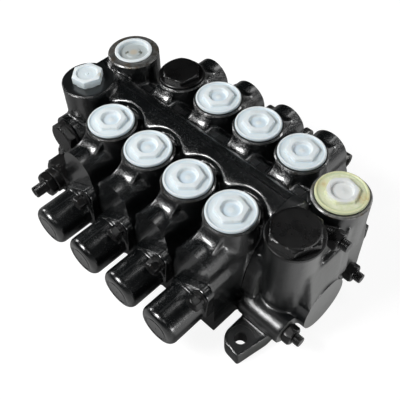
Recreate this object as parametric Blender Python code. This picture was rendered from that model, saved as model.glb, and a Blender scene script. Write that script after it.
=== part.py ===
"""Sectional forklift control valve: an inlet section, four spool sections and an end section.

The stack runs along X, from the inlet at the low end to the end section at the high end. The
spools slide along Y: their spring caps face -Y and their tongues face +Y. The work ports face +Z.
Everything is in metres. The design frame has X = 0 on the inlet's joint face, Y = 0 between the
two rows of work ports and Z = 0 under the feet, and one empty moves it to the middle of the valve.
"""
import math

import bmesh
import bpy
from mathutils import Matrix, Vector

# Stack of castings
SECTION_COUNT = 4
SECTION_PITCH = 0.040
JOINT_GAP = 0.0003
INLET_LENGTH = 0.044
END_LENGTH = 0.0402

# Clearances between pieces that touch, run or screw together
SEAT_GAP = 0.0003
RUNNING_CLEARANCE = 0.0003
ROD_CLEARANCE = 0.0005

# Cast body, seen along X: bottom, waist, flank, deck and the ridge round the upper tie rod
BODY_BOTTOM = 0.007
BODY_HALF_DEPTH = 0.048
WAIST_HALF_DEPTH = 0.043
WAIST_HEIGHT = 0.0175
BELLY_HALF_DEPTH = 0.046
FLANK_HALF_DEPTH = 0.0415
FLANK_HEIGHT = 0.055
SHOULDER_HALF_DEPTH = 0.0345
SHOULDER_HEIGHT = 0.069
DECK_HALF_DEPTH = 0.019
DECK_HEIGHT = 0.086
RIDGE_DROP = 0.002
RIDGE_RADIUS = 0.014

# Spool housing that runs through each section along Y, with a neck and a rounded top
HOUSING_HALF_DEPTH = 0.0725
HOUSING_SIDE_GAP = 0.0006
NECK_LOW = 0.052
NECK_MIDDLE = 0.061
NECK_HIGH = 0.0685
NECK_DRAW = 0.001
ARCH_HEIGHT = 0.073
ARCH_RADIUS = 0.0155

# Work ports, with their faces above the deck
PORT_ROW = 0.0358
PORT_BOSS_RADIUS = 0.0190
PORT_FACE_RISE = 0.0099
PORT_CHAMFER = 0.0009
PORT_BORE_RADIUS = 0.0108
PORT_BORE_DEPTH = 0.015

# Plastic shipping plugs
PLUG_FLANGE_RADIUS = 0.01724
OUTLET_PLUG_FLANGE_RADIUS = 0.01815
PLUG_FLANGE_THICKNESS = 0.0026
PLUG_EDGE = 0.0006
PLUG_HEX_ACROSS_FLATS = 0.0208
PLUG_HEX_HEIGHT = 0.0019
PLUG_HEX_TURN = 45.0
PLUG_RECESS_ACROSS_FLATS = 0.0154
PLUG_RECESS_DEPTH = 0.0024
OUTLET_RECESS_RADIUS = 0.0078
PLUG_SPIGOT_LENGTH = 0.010

# Steel port plugs, with the share of the width that their crown leaves flat
STEEL_PLUG_ACROSS_FLATS = 0.027
STEEL_PLUG_HEX_HEIGHT = 0.0038
STEEL_PLUG_COLLAR_RADIUS = 0.0175
STEEL_PLUG_COLLAR_THICKNESS = 0.0020
STEEL_PLUG_TURN = 15.0
END_PLUG_ACROSS_FLATS = 0.0325
END_PLUG_HEX_HEIGHT = 0.0065
END_PLUG_COLLAR_RADIUS = 0.0198
END_PLUG_COLLAR_THICKNESS = 0.0030
END_PLUG_TURN = 6.0
CROWN_FLAT_SHARE = 0.48
CROWN_OUTER_SHARE = 0.62

# Spools
SPOOL_HEIGHT = 0.0365
SPOOL_RADIUS = 0.007
SPOOL_GROOVE_RADIUS = 0.0048
SPOOL_GROOVE_LENGTH = 0.014
SPOOL_GROOVE_PITCH = 0.032
SPOOL_GROOVE_COUNT = 3
SPOOL_TRAVEL = 0.006
TONGUE_STANDOFF = 0.0125
TONGUE_LENGTH = 0.022
TONGUE_THICKNESS = 0.006
TONGUE_EYE_RADIUS = 0.004
TONGUE_EYE_SETBACK = 0.0075

# Shoulder screw in each spool's spring end
SHANK_RADIUS = 0.0035
SHANK_THREAD_LENGTH = 0.010
SHANK_HEAD_RADIUS = 0.0060
SHANK_HEAD_LENGTH = 0.004
SHANK_SOCKET_RADIUS = 0.0028
SHANK_SOCKET_DEPTH = 0.0022

# Spring caps and what they hold
CAP_RADIUS = 0.0158
CAP_CORNER = 0.0038
CAP_WALL = 0.003
CAP_HEADROOM = 0.0019
CAP_FLANGE_THICKNESS = 0.006
CAP_FLANGE_RADIUS = 0.0178
CAP_EAR_RADIUS = 0.0062
CAP_SCREW_X = 0.0142
CAP_SCREW_Z = 0.0220
SPRING_LENGTH = 0.0170
SPRING_RADIUS = 0.0086
SPRING_WIRE_RADIUS = 0.0012
SPRING_TURNS = 4
SPRING_SEAT_RADIUS = 0.0112
SPRING_SEAT_THICKNESS = 0.002

# Cap screws with a flat washer under a spring washer
SCREW_RADIUS = 0.003
SCREW_ACROSS_FLATS = 0.0098
SCREW_HEAD_HEIGHT = 0.0055
SCREW_DEPTH = 0.011
FLAT_WASHER_RADIUS = 0.0058
FLAT_WASHER_THICKNESS = 0.0014
SPRING_WASHER_RADIUS = 0.0048
SPRING_WASHER_THICKNESS = 0.0022

# Wiper retainers pressed into the housing on the tongue side
RETAINER_THICKNESS = 0.003
RETAINER_RADIUS = 0.0125
RETAINER_SPIGOT_RADIUS = 0.0098
RETAINER_SPIGOT_LENGTH = 0.004

# Tie rods and nuts: the upper rod is screwed into the inlet, the two lower ones run through it
ROD_RADIUS = 0.004
UPPER_ROD_Y = 0.0
UPPER_ROD_LIFT = 0.003
FRONT_ROD_Y = -0.0430
REAR_ROD_Y = 0.0265
LOWER_ROD_Z = 0.0225
NUT_ACROSS_FLATS = 0.013
NUT_THICKNESS = 0.0068
NUT_TURN = 20.0
ROD_REACH_AT_END = 0.0058
ROD_REACH_AT_INLET = 0.0029
ROD_CHAMFER = 0.0008
UPPER_NUT_RECESS = 0.0045
UPPER_ROD_DEPTH = 0.036

# Inlet section: a full base, a narrower block above it and a web between the two ports
INLET_PORT_X = 0.0220
INLET_BOSS_RADIUS = 0.0203
INLET_BOSS_BOTTOM = 0.048
INLET_FACE_RISE = 0.0175
TANK_PORT_Y = 0.0238
PRESSURE_PORT_Y = -0.0223
INLET_FLANGE_SETBACK = 0.002
INLET_BASE_FRONT = -0.0510
INLET_BASE_BACK = 0.0480
INLET_BASE_TOP = 0.036
INLET_BLOCK_FRONT = -0.0400
INLET_BLOCK_BACK = 0.0440
INLET_BLOCK_TOP = 0.069
INLET_BLOCK_CHAMFER = 0.016
INLET_WEB_RISE = 0.0090
INLET_WEB_SETBACK = 0.002
INLET_WEB_INNER_X = -0.019
TANK_PLUG_RADIUS = 0.0138
TANK_PLUG_RIM = 0.0010
TANK_PLUG_WALL = 0.0016
TANK_PLUG_DEPTH = 0.0065
TANK_PLUG_PROUD = 0.0012
PRESSURE_PLUG_ACROSS_FLATS = 0.0215
PRESSURE_PLUG_HEIGHT = 0.0062
PRESSURE_PLUG_TURN = 10.0
PRESSURE_PLUG_RECESS_RADIUS = 0.0062

# Side plug and relief valve on the inlet's front
SIDE_PLUG_HEIGHT = 0.063
SIDE_BOSS_RADIUS = 0.0160
SIDE_BOSS_FACE = 0.0490
SIDE_PLUG_ACROSS_FLATS = 0.024
SIDE_PLUG_HEX_LENGTH = 0.0062
SIDE_PLUG_COLLAR_RADIUS = 0.0138
SIDE_PLUG_COLLAR_LENGTH = 0.0022
RELIEF_HEIGHT = 0.029
RELIEF_BOSS_RADIUS = 0.0170
RELIEF_BOSS_FACE = 0.0560
RELIEF_ACROSS_FLATS = 0.027
RELIEF_TURN = 15.0
RELIEF_HEX_LENGTH = 0.014
RELIEF_NECK_RADIUS = 0.0105
RELIEF_NECK_LENGTH = 0.006
RELIEF_SPIGOT_RADIUS = 0.0097
RELIEF_SPIGOT_LENGTH = 0.007
LOCK_NUT_ACROSS_FLATS = 0.019
LOCK_NUT_THICKNESS = 0.0065
ADJUSTER_RADIUS = 0.005
ADJUSTER_TIP = 0.0933
ADJUSTER_CHAMFER = 0.001

# End section: joint flange, block under the steel port, plate for the nuts and the round boss
END_PORT_X = 0.0220
END_STEEL_BOSS_RADIUS = 0.0185
END_STEEL_BOSS_BOTTOM = 0.029
END_STEEL_PORT_Y = -0.0225
END_WHITE_BOSS_RADIUS = 0.0203
END_WHITE_BOSS_BOTTOM = 0.055
END_WHITE_PORT_Y = 0.0254
END_FLANGE_LENGTH = 0.010
END_BLOCK_SETBACK = 0.003
END_BLOCK_FRONT = -0.0365
END_PLATE_BOTTOM = 0.011
END_PLATE_BACK = 0.0410
END_PLATE_UPPER_HEIGHT = 0.046
END_PLATE_NECK = 0.0370
END_PLATE_NECK_HEIGHT = 0.068
END_PLATE_TOP_BACK = 0.0300
POCKET_BACK = 0.0120
POCKET_BOTTOM = 0.067
END_DISC_RADIUS = 0.0213
END_DISC_Y = -0.0125
END_DISC_Z = 0.0295
END_DISC_PROUD = 0.0072
END_BLEND_Y = 0.006
END_BLEND_Z = 0.016
ROD_BOSS_RADIUS = 0.0110

# Feet
FOOT_THICKNESS = 0.0135
FOOT_HOLE_RADIUS = 0.0045
FOOT_HOLE_X = 0.0183
FOOT_HOLE_Y = 0.0656
FOOT_RADIUS = 0.0115
FOOT_ARC_START = 70.0
FOOT_POINT_X = 0.0078
FOOT_POINT_Y = 0.0120
FOOT_SIDE_X = 0.0130
FOOT_SIDE_Y = 0.0520
FOOT_ROOT_Y = 0.0360
SPOTFACE_RADIUS = 0.0098
SPOTFACE_DEPTH = 0.0008

# Facets around a full turn, and steps along shorter arcs
LARGE_SEGMENTS = 24
MEDIUM_SEGMENTS = 18
BORE_SEGMENTS = 12
SMALL_SEGMENTS = 8
WIRE_SEGMENTS = 5
COIL_STEPS = 8
RIDGE_STEPS = 8
ARCH_STEPS = 12
TONGUE_STEPS = 6
FOOT_STEPS = 6
CORNER_STEPS = 3

# How far a helper solid reaches into or past what it joins or cuts
OVERLAP = 0.001
MERGE_DISTANCE = 0.000001
FLAT_ANGLE = math.radians(0.05)
SHARP_ANGLE = math.radians(32)
CROWN_ANGLE = math.radians(30)

AXES = {
    "X": Matrix(((0, 0, 1, 0), (1, 0, 0, 0), (0, 1, 0, 0), (0, 0, 0, 1))),
    "Y": Matrix(((0, 1, 0, 0), (0, 0, 1, 0), (1, 0, 0, 0), (0, 0, 0, 1))),
    "Z": Matrix.Identity(4),
}


def clear_scene():
    for item in list(bpy.data.objects):
        bpy.data.objects.remove(item, do_unlink=True)


def make_material(name, colour, roughness, metallic=0.0):
    material = bpy.data.materials.new(name)
    material.use_nodes = True
    shader = material.node_tree.nodes["Principled BSDF"]
    shader.inputs["Base Color"].default_value = (*colour, 1.0)
    shader.inputs["Roughness"].default_value = roughness
    shader.inputs["Metallic"].default_value = metallic
    return material


def solid_from(bm):
    """A loose object that holds a closed mesh, ready to be joined or cut."""
    bmesh.ops.recalc_face_normals(bm, faces=bm.faces)
    mesh = bpy.data.meshes.new("solid")
    bm.to_mesh(mesh)
    bm.free()
    solid = bpy.data.objects.new("solid", mesh)
    bpy.context.scene.collection.objects.link(solid)
    return solid


def prism(outline, axis, start, end, centre=(0.0, 0.0, 0.0)):
    """Extrude an outline along an axis. X takes (y, z), Y takes (z, x) and Z takes (x, y)."""
    bm = bmesh.new()
    frame = Matrix.Translation(centre) @ AXES[axis]
    low = [bm.verts.new(frame @ Vector((u, v, start))) for u, v in outline]
    high = [bm.verts.new(frame @ Vector((u, v, end))) for u, v in outline]
    bm.faces.new(low)
    bm.faces.new(high)
    for i in range(len(outline)):
        j = (i + 1) % len(outline)
        bm.faces.new((low[i], low[j], high[j], high[i]))
    return solid_from(bm)


def turned(profile, axis, centre=(0.0, 0.0, 0.0), segments=LARGE_SEGMENTS):
    """Revolve (radius, distance along the axis) points. A radius of 0 closes the end on the axis."""
    bm = bmesh.new()
    frame = Matrix.Translation(centre) @ AXES[axis]
    rings = []
    for radius, along in profile:
        if radius == 0.0:
            rings.append([bm.verts.new(frame @ Vector((0.0, 0.0, along)))])
            continue
        ring = []
        for step in range(segments):
            angle = 2 * math.pi * (step + 0.5) / segments
            point = Vector((radius * math.cos(angle), radius * math.sin(angle), along))
            ring.append(bm.verts.new(frame @ point))
        rings.append(ring)
    for first, second in zip(rings, rings[1:]):
        for step in range(segments):
            after = (step + 1) % segments
            if len(first) == 1:
                bm.faces.new((first[0], second[step], second[after]))
            elif len(second) == 1:
                bm.faces.new((first[step], first[after], second[0]))
            else:
                bm.faces.new((first[step], first[after], second[after], second[step]))
    return solid_from(bm)


def cylinder(radius, axis, start, end, centre=(0.0, 0.0, 0.0), segments=LARGE_SEGMENTS):
    return prism(circle(radius, segments), axis, start, end, centre)


def circle(radius, segments, centre=(0.0, 0.0)):
    points = []
    for step in range(segments):
        angle = 2 * math.pi * (step + 0.5) / segments
        points.append((centre[0] + radius * math.cos(angle), centre[1] + radius * math.sin(angle)))
    return points


def arc(radius, centre, first_degrees, last_degrees, steps):
    points = []
    for step in range(steps + 1):
        angle = math.radians(first_degrees + (last_degrees - first_degrees) * step / steps)
        points.append((centre[0] + radius * math.cos(angle), centre[1] + radius * math.sin(angle)))
    return points


def hexagon(across_flats, turn_degrees=0.0):
    corner = across_flats / math.sqrt(3)
    return arc(corner, (0.0, 0.0), turn_degrees, turn_degrees + 300.0, 5)


def tangent_outline(discs, segments):
    """Outline of a tight belt round several discs, each given as (u, v, radius)."""
    points = []
    for u, v, radius in discs:
        points += circle(radius, segments, (u, v))
    points.sort()
    lower, upper = [], []
    for chain, ordered in ((lower, points), (upper, points[::-1])):
        for point in ordered:
            while len(chain) > 1 and turn(chain[-2], chain[-1], point) <= 0:
                chain.pop()
            chain.append(point)
    return lower[:-1] + upper[:-1]


def turn(a, b, c):
    return (b[0] - a[0]) * (c[1] - a[1]) - (b[1] - a[1]) * (c[0] - a[0])


def combine(base, joined=(), cut=(), shared=()):
    """Join solids to the base, cut others from it, keep what it shares, and remove the helpers."""
    for operation, helpers in (("UNION", joined), ("DIFFERENCE", cut), ("INTERSECT", shared)):
        for helper in helpers:
            modifier = base.modifiers.new("boolean", "BOOLEAN")
            modifier.operation = operation
            modifier.solver = "EXACT"
            modifier.object = helper
    depsgraph = bpy.context.evaluated_depsgraph_get()
    mesh = bpy.data.meshes.new_from_object(base.evaluated_get(depsgraph))
    base.modifiers.clear()
    base.data = mesh
    for helper in (*joined, *cut, *shared):
        bpy.data.objects.remove(helper, do_unlink=True)
    bm = bmesh.new()
    bm.from_mesh(mesh)
    bmesh.ops.remove_doubles(bm, verts=bm.verts, dist=MERGE_DISTANCE)
    bmesh.ops.dissolve_limit(bm, angle_limit=FLAT_ANGLE, verts=bm.verts, edges=bm.edges)
    bm.to_mesh(mesh)
    bm.free()
    return base


def hull(points):
    """The tightest closed solid round a set of points."""
    bm = bmesh.new()
    for point in points:
        bm.verts.new(point)
    result = bmesh.ops.convex_hull(bm, input=bm.verts)
    spare = set(result["geom_interior"]) | set(result["geom_unused"])
    spare = [item for item in spare if isinstance(item, bmesh.types.BMVert)]
    bmesh.ops.delete(bm, geom=spare, context="VERTS")
    return solid_from(bm)


def finish(solid, name, material, origin, datum):
    """Name a solid, put its origin where the piece belongs and hang it on the datum."""
    mesh = solid.data
    mesh.transform(Matrix.Translation(-Vector(origin)))
    mesh.materials.clear()
    mesh.materials.append(material)
    mesh.shade_smooth()
    mesh.set_sharp_from_angle(angle=SHARP_ANGLE)
    solid.name = name
    mesh.name = name
    solid.parent = datum
    solid.location = origin
    return solid


def section_centre(index):
    return (index + 0.5) * SECTION_PITCH


def stack_end():
    return SECTION_COUNT * SECTION_PITCH


def end_plane():
    """The end section's outer face, where the lower nuts sit."""
    return stack_end() + END_LENGTH


def rod_places():
    """Each tie rod's (y, z), how far its outer nut seat is set back, and its tip in the inlet."""
    tip = -INLET_LENGTH - SEAT_GAP - NUT_THICKNESS - ROD_REACH_AT_INLET
    return {
        "upper": (UPPER_ROD_Y, ridge_height() + UPPER_ROD_LIFT, UPPER_NUT_RECESS, -UPPER_ROD_DEPTH),
        "front": (FRONT_ROD_Y, LOWER_ROD_Z, 0.0, tip),
        "rear": (REAR_ROD_Y, LOWER_ROD_Z, 0.0, tip),
    }


def ridge_height():
    """The middle of the ridge, just under the deck."""
    return DECK_HEIGHT - RIDGE_DROP


def port_face():
    return DECK_HEIGHT + PORT_FACE_RISE


def inlet_face():
    return DECK_HEIGHT + INLET_FACE_RISE


def mating_outline():
    """Outline of every joint face, as (y, z): the ridge on top, a waist and a spread base."""
    half = [
        (BODY_HALF_DEPTH, BODY_BOTTOM),
        (WAIST_HALF_DEPTH, WAIST_HEIGHT),
        (BELLY_HALF_DEPTH, SPOOL_HEIGHT),
        (FLANK_HALF_DEPTH, FLANK_HEIGHT),
        (SHOULDER_HALF_DEPTH, SHOULDER_HEIGHT),
        (DECK_HALF_DEPTH, DECK_HEIGHT),
    ]
    rise = math.degrees(math.asin(RIDGE_DROP / RIDGE_RADIUS))
    ridge = arc(RIDGE_RADIUS, (0.0, ridge_height()), rise, 180.0 - rise, RIDGE_STEPS)
    return half + ridge + [(-y, z) for y, z in reversed(half)]


def housing_outline():
    """Outline of the spool housing, as (z, x): straight flanks, a neck and a round top."""
    half_width = SECTION_PITCH / 2 - HOUSING_SIDE_GAP
    flank = [
        (BODY_BOTTOM, half_width),
        (NECK_LOW, half_width),
        (NECK_MIDDLE, half_width - NECK_DRAW),
        (NECK_HIGH, ARCH_RADIUS),
    ]
    top = arc(ARCH_RADIUS, (ARCH_HEIGHT, 0.0), 90.0, -90.0, ARCH_STEPS)
    return flank + top + [(z, -x) for z, x in reversed(flank)]


def port_boss(x, y, radius, bottom, face, segments=LARGE_SEGMENTS):
    profile = (
        (0.0, bottom),
        (radius, bottom),
        (radius, face - PORT_CHAMFER),
        (radius - PORT_CHAMFER, face),
        (0.0, face),
    )
    return turned(profile, "Z", (x, y, 0.0), segments)


def port_bore(x, y, face, radius=PORT_BORE_RADIUS, depth=PORT_BORE_DEPTH):
    return cylinder(radius, "Z", face - depth, face + OVERLAP, (x, y, 0.0), MEDIUM_SEGMENTS)


def rod_holes(start, end):
    """Holes for the tie rods, through everything but the blind end of the upper one."""
    holes = []
    radius = ROD_RADIUS + ROD_CLEARANCE
    for y, z, _, tip in rod_places().values():
        low = max(start - OVERLAP, tip - SEAT_GAP)
        holes.append(cylinder(radius, "X", low, end + OVERLAP, (0.0, y, z), SMALL_SEGMENTS))
    return holes


def screw_places(x):
    """Centres (x, z) of the two screws that hold a cap, on a slant across the spool."""
    upper = (x + CAP_SCREW_X, SPOOL_HEIGHT + CAP_SCREW_Z)
    lower = (x - CAP_SCREW_X, SPOOL_HEIGHT - CAP_SCREW_Z)
    return (upper, lower)


def screw_hole(x, z):
    """A blind hole for a cap screw in the housing face that looks to -Y."""
    start = -HOUSING_HALF_DEPTH - OVERLAP
    stop = -HOUSING_HALF_DEPTH + SCREW_DEPTH + SEAT_GAP
    radius = SCREW_RADIUS + RUNNING_CLEARANCE
    return cylinder(radius, "Y", start, stop, (x, 0.0, z), SMALL_SEGMENTS)


def work_section(index):
    x = section_centre(index)
    reach = (SECTION_PITCH - JOINT_GAP) / 2
    body = prism(mating_outline(), "X", x - reach, x + reach)
    depth = HOUSING_HALF_DEPTH
    on_axis = (x, 0.0, SPOOL_HEIGHT)
    joined = [prism(housing_outline(), "Y", -depth, depth, (x, 0.0, 0.0))]
    cut = [
        cylinder(SPOOL_RADIUS + RUNNING_CLEARANCE, "Y", -depth - OVERLAP, depth + OVERLAP, on_axis,
                 BORE_SEGMENTS),
        cylinder(RETAINER_SPIGOT_RADIUS + SEAT_GAP, "Y", depth - RETAINER_SPIGOT_LENGTH - SEAT_GAP,
                 depth + OVERLAP, on_axis, BORE_SEGMENTS),
    ]
    for side in (-1, 1):
        joined.append(port_boss(x, side * PORT_ROW, PORT_BOSS_RADIUS, ARCH_HEIGHT, port_face()))
        cut.append(port_bore(x, side * PORT_ROW, port_face()))
    cut += rod_holes(x - reach, x + reach)
    cut += [screw_hole(*place) for place in screw_places(x)]
    return combine(body, joined, cut)


def foot(x, side, point_side):
    """A lug with a round side, a point at its outer end and a bolt hole, as seen from above."""
    y = side * FOOT_HOLE_Y
    outline = [
        (x + point_side * FOOT_SIDE_X, side * FOOT_ROOT_Y),
        (x + point_side * FOOT_SIDE_X, side * FOOT_SIDE_Y),
        (x + point_side * FOOT_POINT_X, y + side * FOOT_POINT_Y),
    ]
    for step in range(FOOT_STEPS + 1):
        angle = math.radians(FOOT_ARC_START * (1.0 - step / FOOT_STEPS))
        along = FOOT_RADIUS * math.cos(angle)
        across = FOOT_RADIUS * math.sin(angle)
        outline.append((x - point_side * along, y + side * across))
    outline.append((x - point_side * FOOT_RADIUS, side * FOOT_ROOT_Y))
    return prism(outline, "Z", 0.0, FOOT_THICKNESS)


def foot_cuts(x, side):
    centre = (x, side * FOOT_HOLE_Y, 0.0)
    top = FOOT_THICKNESS + OVERLAP
    hole = cylinder(FOOT_HOLE_RADIUS, "Z", -OVERLAP, top, centre, BORE_SEGMENTS)
    floor = FOOT_THICKNESS - SPOTFACE_DEPTH
    spotface = cylinder(SPOTFACE_RADIUS, "Z", floor, top, centre, MEDIUM_SEGMENTS)
    return [hole, spotface]


def box(low, high):
    outline = ((low[0], low[1]), (high[0], low[1]), (high[0], high[1]), (low[0], high[1]))
    return prism(outline, "Z", low[2], high[2])


def inlet_section():
    start = -INLET_LENGTH
    end = -JOINT_GAP / 2
    x = -INLET_PORT_X
    inner = end - INLET_FLANGE_SETBACK
    body = prism(mating_outline(), "X", x, end)
    block = (
        (start, INLET_BLOCK_FRONT + INLET_BLOCK_CHAMFER),
        (start + INLET_BLOCK_CHAMFER, INLET_BLOCK_FRONT),
        (inner, INLET_BLOCK_FRONT),
        (inner, INLET_BLOCK_BACK),
        (start + INLET_BLOCK_CHAMFER, INLET_BLOCK_BACK),
        (start, INLET_BLOCK_BACK - INLET_BLOCK_CHAMFER),
    )
    joined = [
        box((start, INLET_BASE_FRONT, 0.0), (inner, INLET_BASE_BACK, INLET_BASE_TOP)),
        prism(block, "Z", INLET_BASE_TOP - OVERLAP, INLET_BLOCK_TOP),
        box((start + INLET_WEB_SETBACK, PRESSURE_PORT_Y, INLET_BLOCK_TOP - OVERLAP),
            (INLET_WEB_INNER_X, TANK_PORT_Y, DECK_HEIGHT + INLET_WEB_RISE)),
        cylinder(SIDE_BOSS_RADIUS, "Y", -SIDE_BOSS_FACE, 0.0, (x, 0.0, SIDE_PLUG_HEIGHT)),
        cylinder(RELIEF_BOSS_RADIUS, "Y", -RELIEF_BOSS_FACE, 0.0, (x, 0.0, RELIEF_HEIGHT)),
        foot(x, 1, -1),
    ]
    for y in (PRESSURE_PORT_Y, TANK_PORT_Y):
        joined.append(port_boss(x, y, INLET_BOSS_RADIUS, INLET_BOSS_BOTTOM, inlet_face()))
    cut = [
        port_bore(x, PRESSURE_PORT_Y, inlet_face()),
        port_bore(x, TANK_PORT_Y, inlet_face(), TANK_PLUG_RADIUS),
        cylinder(PORT_BORE_RADIUS, "Y", -SIDE_BOSS_FACE - OVERLAP, -SIDE_BOSS_FACE + PORT_BORE_DEPTH,
                 (x, 0.0, SIDE_PLUG_HEIGHT), MEDIUM_SEGMENTS),
        cylinder(RELIEF_SPIGOT_RADIUS + SEAT_GAP, "Y", -RELIEF_BOSS_FACE - OVERLAP,
                 -RELIEF_BOSS_FACE + RELIEF_SPIGOT_LENGTH + SEAT_GAP, (x, 0.0, RELIEF_HEIGHT),
                 MEDIUM_SEGMENTS),
    ]
    cut += rod_holes(start, end) + foot_cuts(x, 1)
    return combine(body, joined, cut)


def end_plate(start, plane):
    """The thick plate behind the end face, with a pocket for the upper nut."""
    outline = (
        (END_STEEL_PORT_Y, END_PLATE_BOTTOM),
        (END_PLATE_BACK, END_PLATE_BOTTOM),
        (END_PLATE_BACK, END_PLATE_UPPER_HEIGHT),
        (END_PLATE_NECK, END_PLATE_NECK_HEIGHT),
        (END_PLATE_TOP_BACK, DECK_HEIGHT),
        (END_STEEL_PORT_Y, DECK_HEIGHT),
    )
    pocket = box((plane - UPPER_NUT_RECESS, END_STEEL_PORT_Y - OVERLAP, POCKET_BOTTOM),
                 (plane + OVERLAP, POCKET_BACK, DECK_HEIGHT + OVERLAP))
    return combine(prism(outline, "X", start, plane), (), [pocket])


def end_blend(plane):
    """The slope that leads from the end face up to the round boss."""
    ring = circle(END_DISC_RADIUS, LARGE_SEGMENTS)
    points = []
    for out, shift_y, shift_z in ((-OVERLAP, 0.0, 0.0), (END_DISC_PROUD, 0.0, 0.0),
                                  (-OVERLAP, END_BLEND_Y, END_BLEND_Z)):
        for y, z in ring:
            points.append((plane + out, END_DISC_Y + shift_y + y, END_DISC_Z + shift_z + z))
    return hull(points)


def end_section():
    start = stack_end() + JOINT_GAP / 2
    plane = end_plane()
    x = stack_end() + END_PORT_X
    foot_x = stack_end() + FOOT_HOLE_X
    inner = start + END_BLOCK_SETBACK
    body = prism(mating_outline(), "X", start, start + END_FLANGE_LENGTH)
    joined = [
        box((inner, END_BLOCK_FRONT, BODY_BOTTOM), (x, 0.0, ARCH_HEIGHT)),
        end_plate(inner, plane),
        port_boss(x, END_STEEL_PORT_Y, END_STEEL_BOSS_RADIUS, END_STEEL_BOSS_BOTTOM, port_face()),
        port_boss(x, END_WHITE_PORT_Y, END_WHITE_BOSS_RADIUS, END_WHITE_BOSS_BOTTOM, port_face()),
        cylinder(END_DISC_RADIUS, "X", inner, plane, (0.0, END_DISC_Y, END_DISC_Z)),
        end_blend(plane),
        cylinder(ROD_BOSS_RADIUS, "X", inner, plane, (0.0, FRONT_ROD_Y, LOWER_ROD_Z), MEDIUM_SEGMENTS),
        foot(foot_x, -1, 1),
        foot(foot_x, 1, 1),
    ]
    cut = [
        port_bore(x, END_STEEL_PORT_Y, port_face()),
        port_bore(x, END_WHITE_PORT_Y, port_face()),
    ]
    cut += rod_holes(start, plane) + foot_cuts(foot_x, -1) + foot_cuts(foot_x, 1)
    return combine(body, joined, cut)


def plastic_plug(x, y, face, recess_outline, flange_radius=PLUG_FLANGE_RADIUS):
    """A thin flange on the port face, a raised hexagon with a recess in it and a spigot below."""
    seat = face + SEAT_GAP
    flange_top = seat + PLUG_FLANGE_THICKNESS
    hex_top = flange_top + PLUG_HEX_HEIGHT
    spigot = PORT_BORE_RADIUS - SEAT_GAP
    centre = (x, y, 0.0)
    profile = (
        (0.0, seat - PLUG_SPIGOT_LENGTH),
        (spigot, seat - PLUG_SPIGOT_LENGTH),
        (spigot, seat),
        (flange_radius, seat),
        (flange_radius, flange_top - PLUG_EDGE),
        (flange_radius - PLUG_EDGE, flange_top),
        (0.0, flange_top),
    )
    body = turned(profile, "Z", centre, MEDIUM_SEGMENTS)
    outline = hexagon(PLUG_HEX_ACROSS_FLATS, PLUG_HEX_TURN)
    raised = prism(outline, "Z", flange_top - OVERLAP, hex_top, centre)
    recess = prism(recess_outline, "Z", hex_top - PLUG_RECESS_DEPTH, hex_top + OVERLAP, centre)
    return combine(body, [raised], [recess])


def steel_plug(centre, axis, side, face, across_flats, hex_height, collar_radius, collar, turn_by):
    """A hexagon head on a round collar, with a threaded spigot in the port."""
    seat = side * (face + SEAT_GAP)
    collar_top = seat + side * collar
    hex_top = collar_top + side * hex_height
    spigot = PORT_BORE_RADIUS - SEAT_GAP
    profile = (
        (0.0, seat - side * PLUG_SPIGOT_LENGTH),
        (spigot, seat - side * PLUG_SPIGOT_LENGTH),
        (spigot, seat),
        (collar_radius, seat),
        (collar_radius, collar_top),
        (0.0, collar_top),
    )
    body = turned(profile, axis, centre, MEDIUM_SEGMENTS)
    ends = sorted((collar_top - side * OVERLAP, hex_top))
    head = prism(hexagon(across_flats, turn_by), axis, *ends, centre)
    flat_radius = CROWN_FLAT_SHARE * across_flats
    outside = CROWN_OUTER_SHARE * across_flats
    drop = (outside - flat_radius) * math.tan(CROWN_ANGLE)
    crown_profile = (
        (0.0, seat),
        (outside, seat),
        (outside, hex_top - side * drop),
        (flat_radius, hex_top),
        (0.0, hex_top),
    )
    crown = turned(crown_profile, axis, centre, MEDIUM_SEGMENTS)
    return combine(body, [combine(head, shared=[crown])])


def tank_plug(x, y, face):
    """A cup-shaped plug pushed into the large inlet port, open at the top."""
    outer = TANK_PLUG_RADIUS - SEAT_GAP
    rim = TANK_PLUG_RADIUS + TANK_PLUG_RIM
    inner = outer - TANK_PLUG_WALL
    seat = face + SEAT_GAP
    top = seat + TANK_PLUG_PROUD
    profile = (
        (0.0, face - PLUG_SPIGOT_LENGTH),
        (outer, face - PLUG_SPIGOT_LENGTH),
        (outer, seat),
        (rim, seat),
        (rim, top - PLUG_EDGE),
        (rim - PLUG_EDGE, top),
        (inner, top),
        (inner - TANK_PLUG_WALL / 2, top - TANK_PLUG_DEPTH),
        (0.0, top - TANK_PLUG_DEPTH),
    )
    return turned(profile, "Z", (x, y, 0.0), MEDIUM_SEGMENTS)


def pressure_plug(x, y, face):
    """A plain hexagon plug without a flange on the small inlet port."""
    centre = (x, y, 0.0)
    spigot = PORT_BORE_RADIUS - SEAT_GAP
    seat = face + SEAT_GAP
    top = seat + PRESSURE_PLUG_HEIGHT
    body = cylinder(spigot, "Z", seat - PLUG_SPIGOT_LENGTH, seat + OVERLAP, centre, MEDIUM_SEGMENTS)
    head = prism(hexagon(PRESSURE_PLUG_ACROSS_FLATS, PRESSURE_PLUG_TURN), "Z", seat, top, centre)
    recess = cylinder(PRESSURE_PLUG_RECESS_RADIUS, "Z", top - PLUG_RECESS_DEPTH, top + OVERLAP, centre,
                      BORE_SEGMENTS)
    return combine(body, [head], [recess])


def shank_head_start():
    """How far the shoulder screw's head lies out from the spring housing face."""
    return HOUSING_HALF_DEPTH + SEAT_GAP + SPRING_LENGTH + 2 * SPRING_SEAT_THICKNESS + SEAT_GAP


def tongue_tip():
    """How far the rounded end of a tongue lies out along Y."""
    return HOUSING_HALF_DEPTH + TONGUE_STANDOFF + TONGUE_LENGTH


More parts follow.
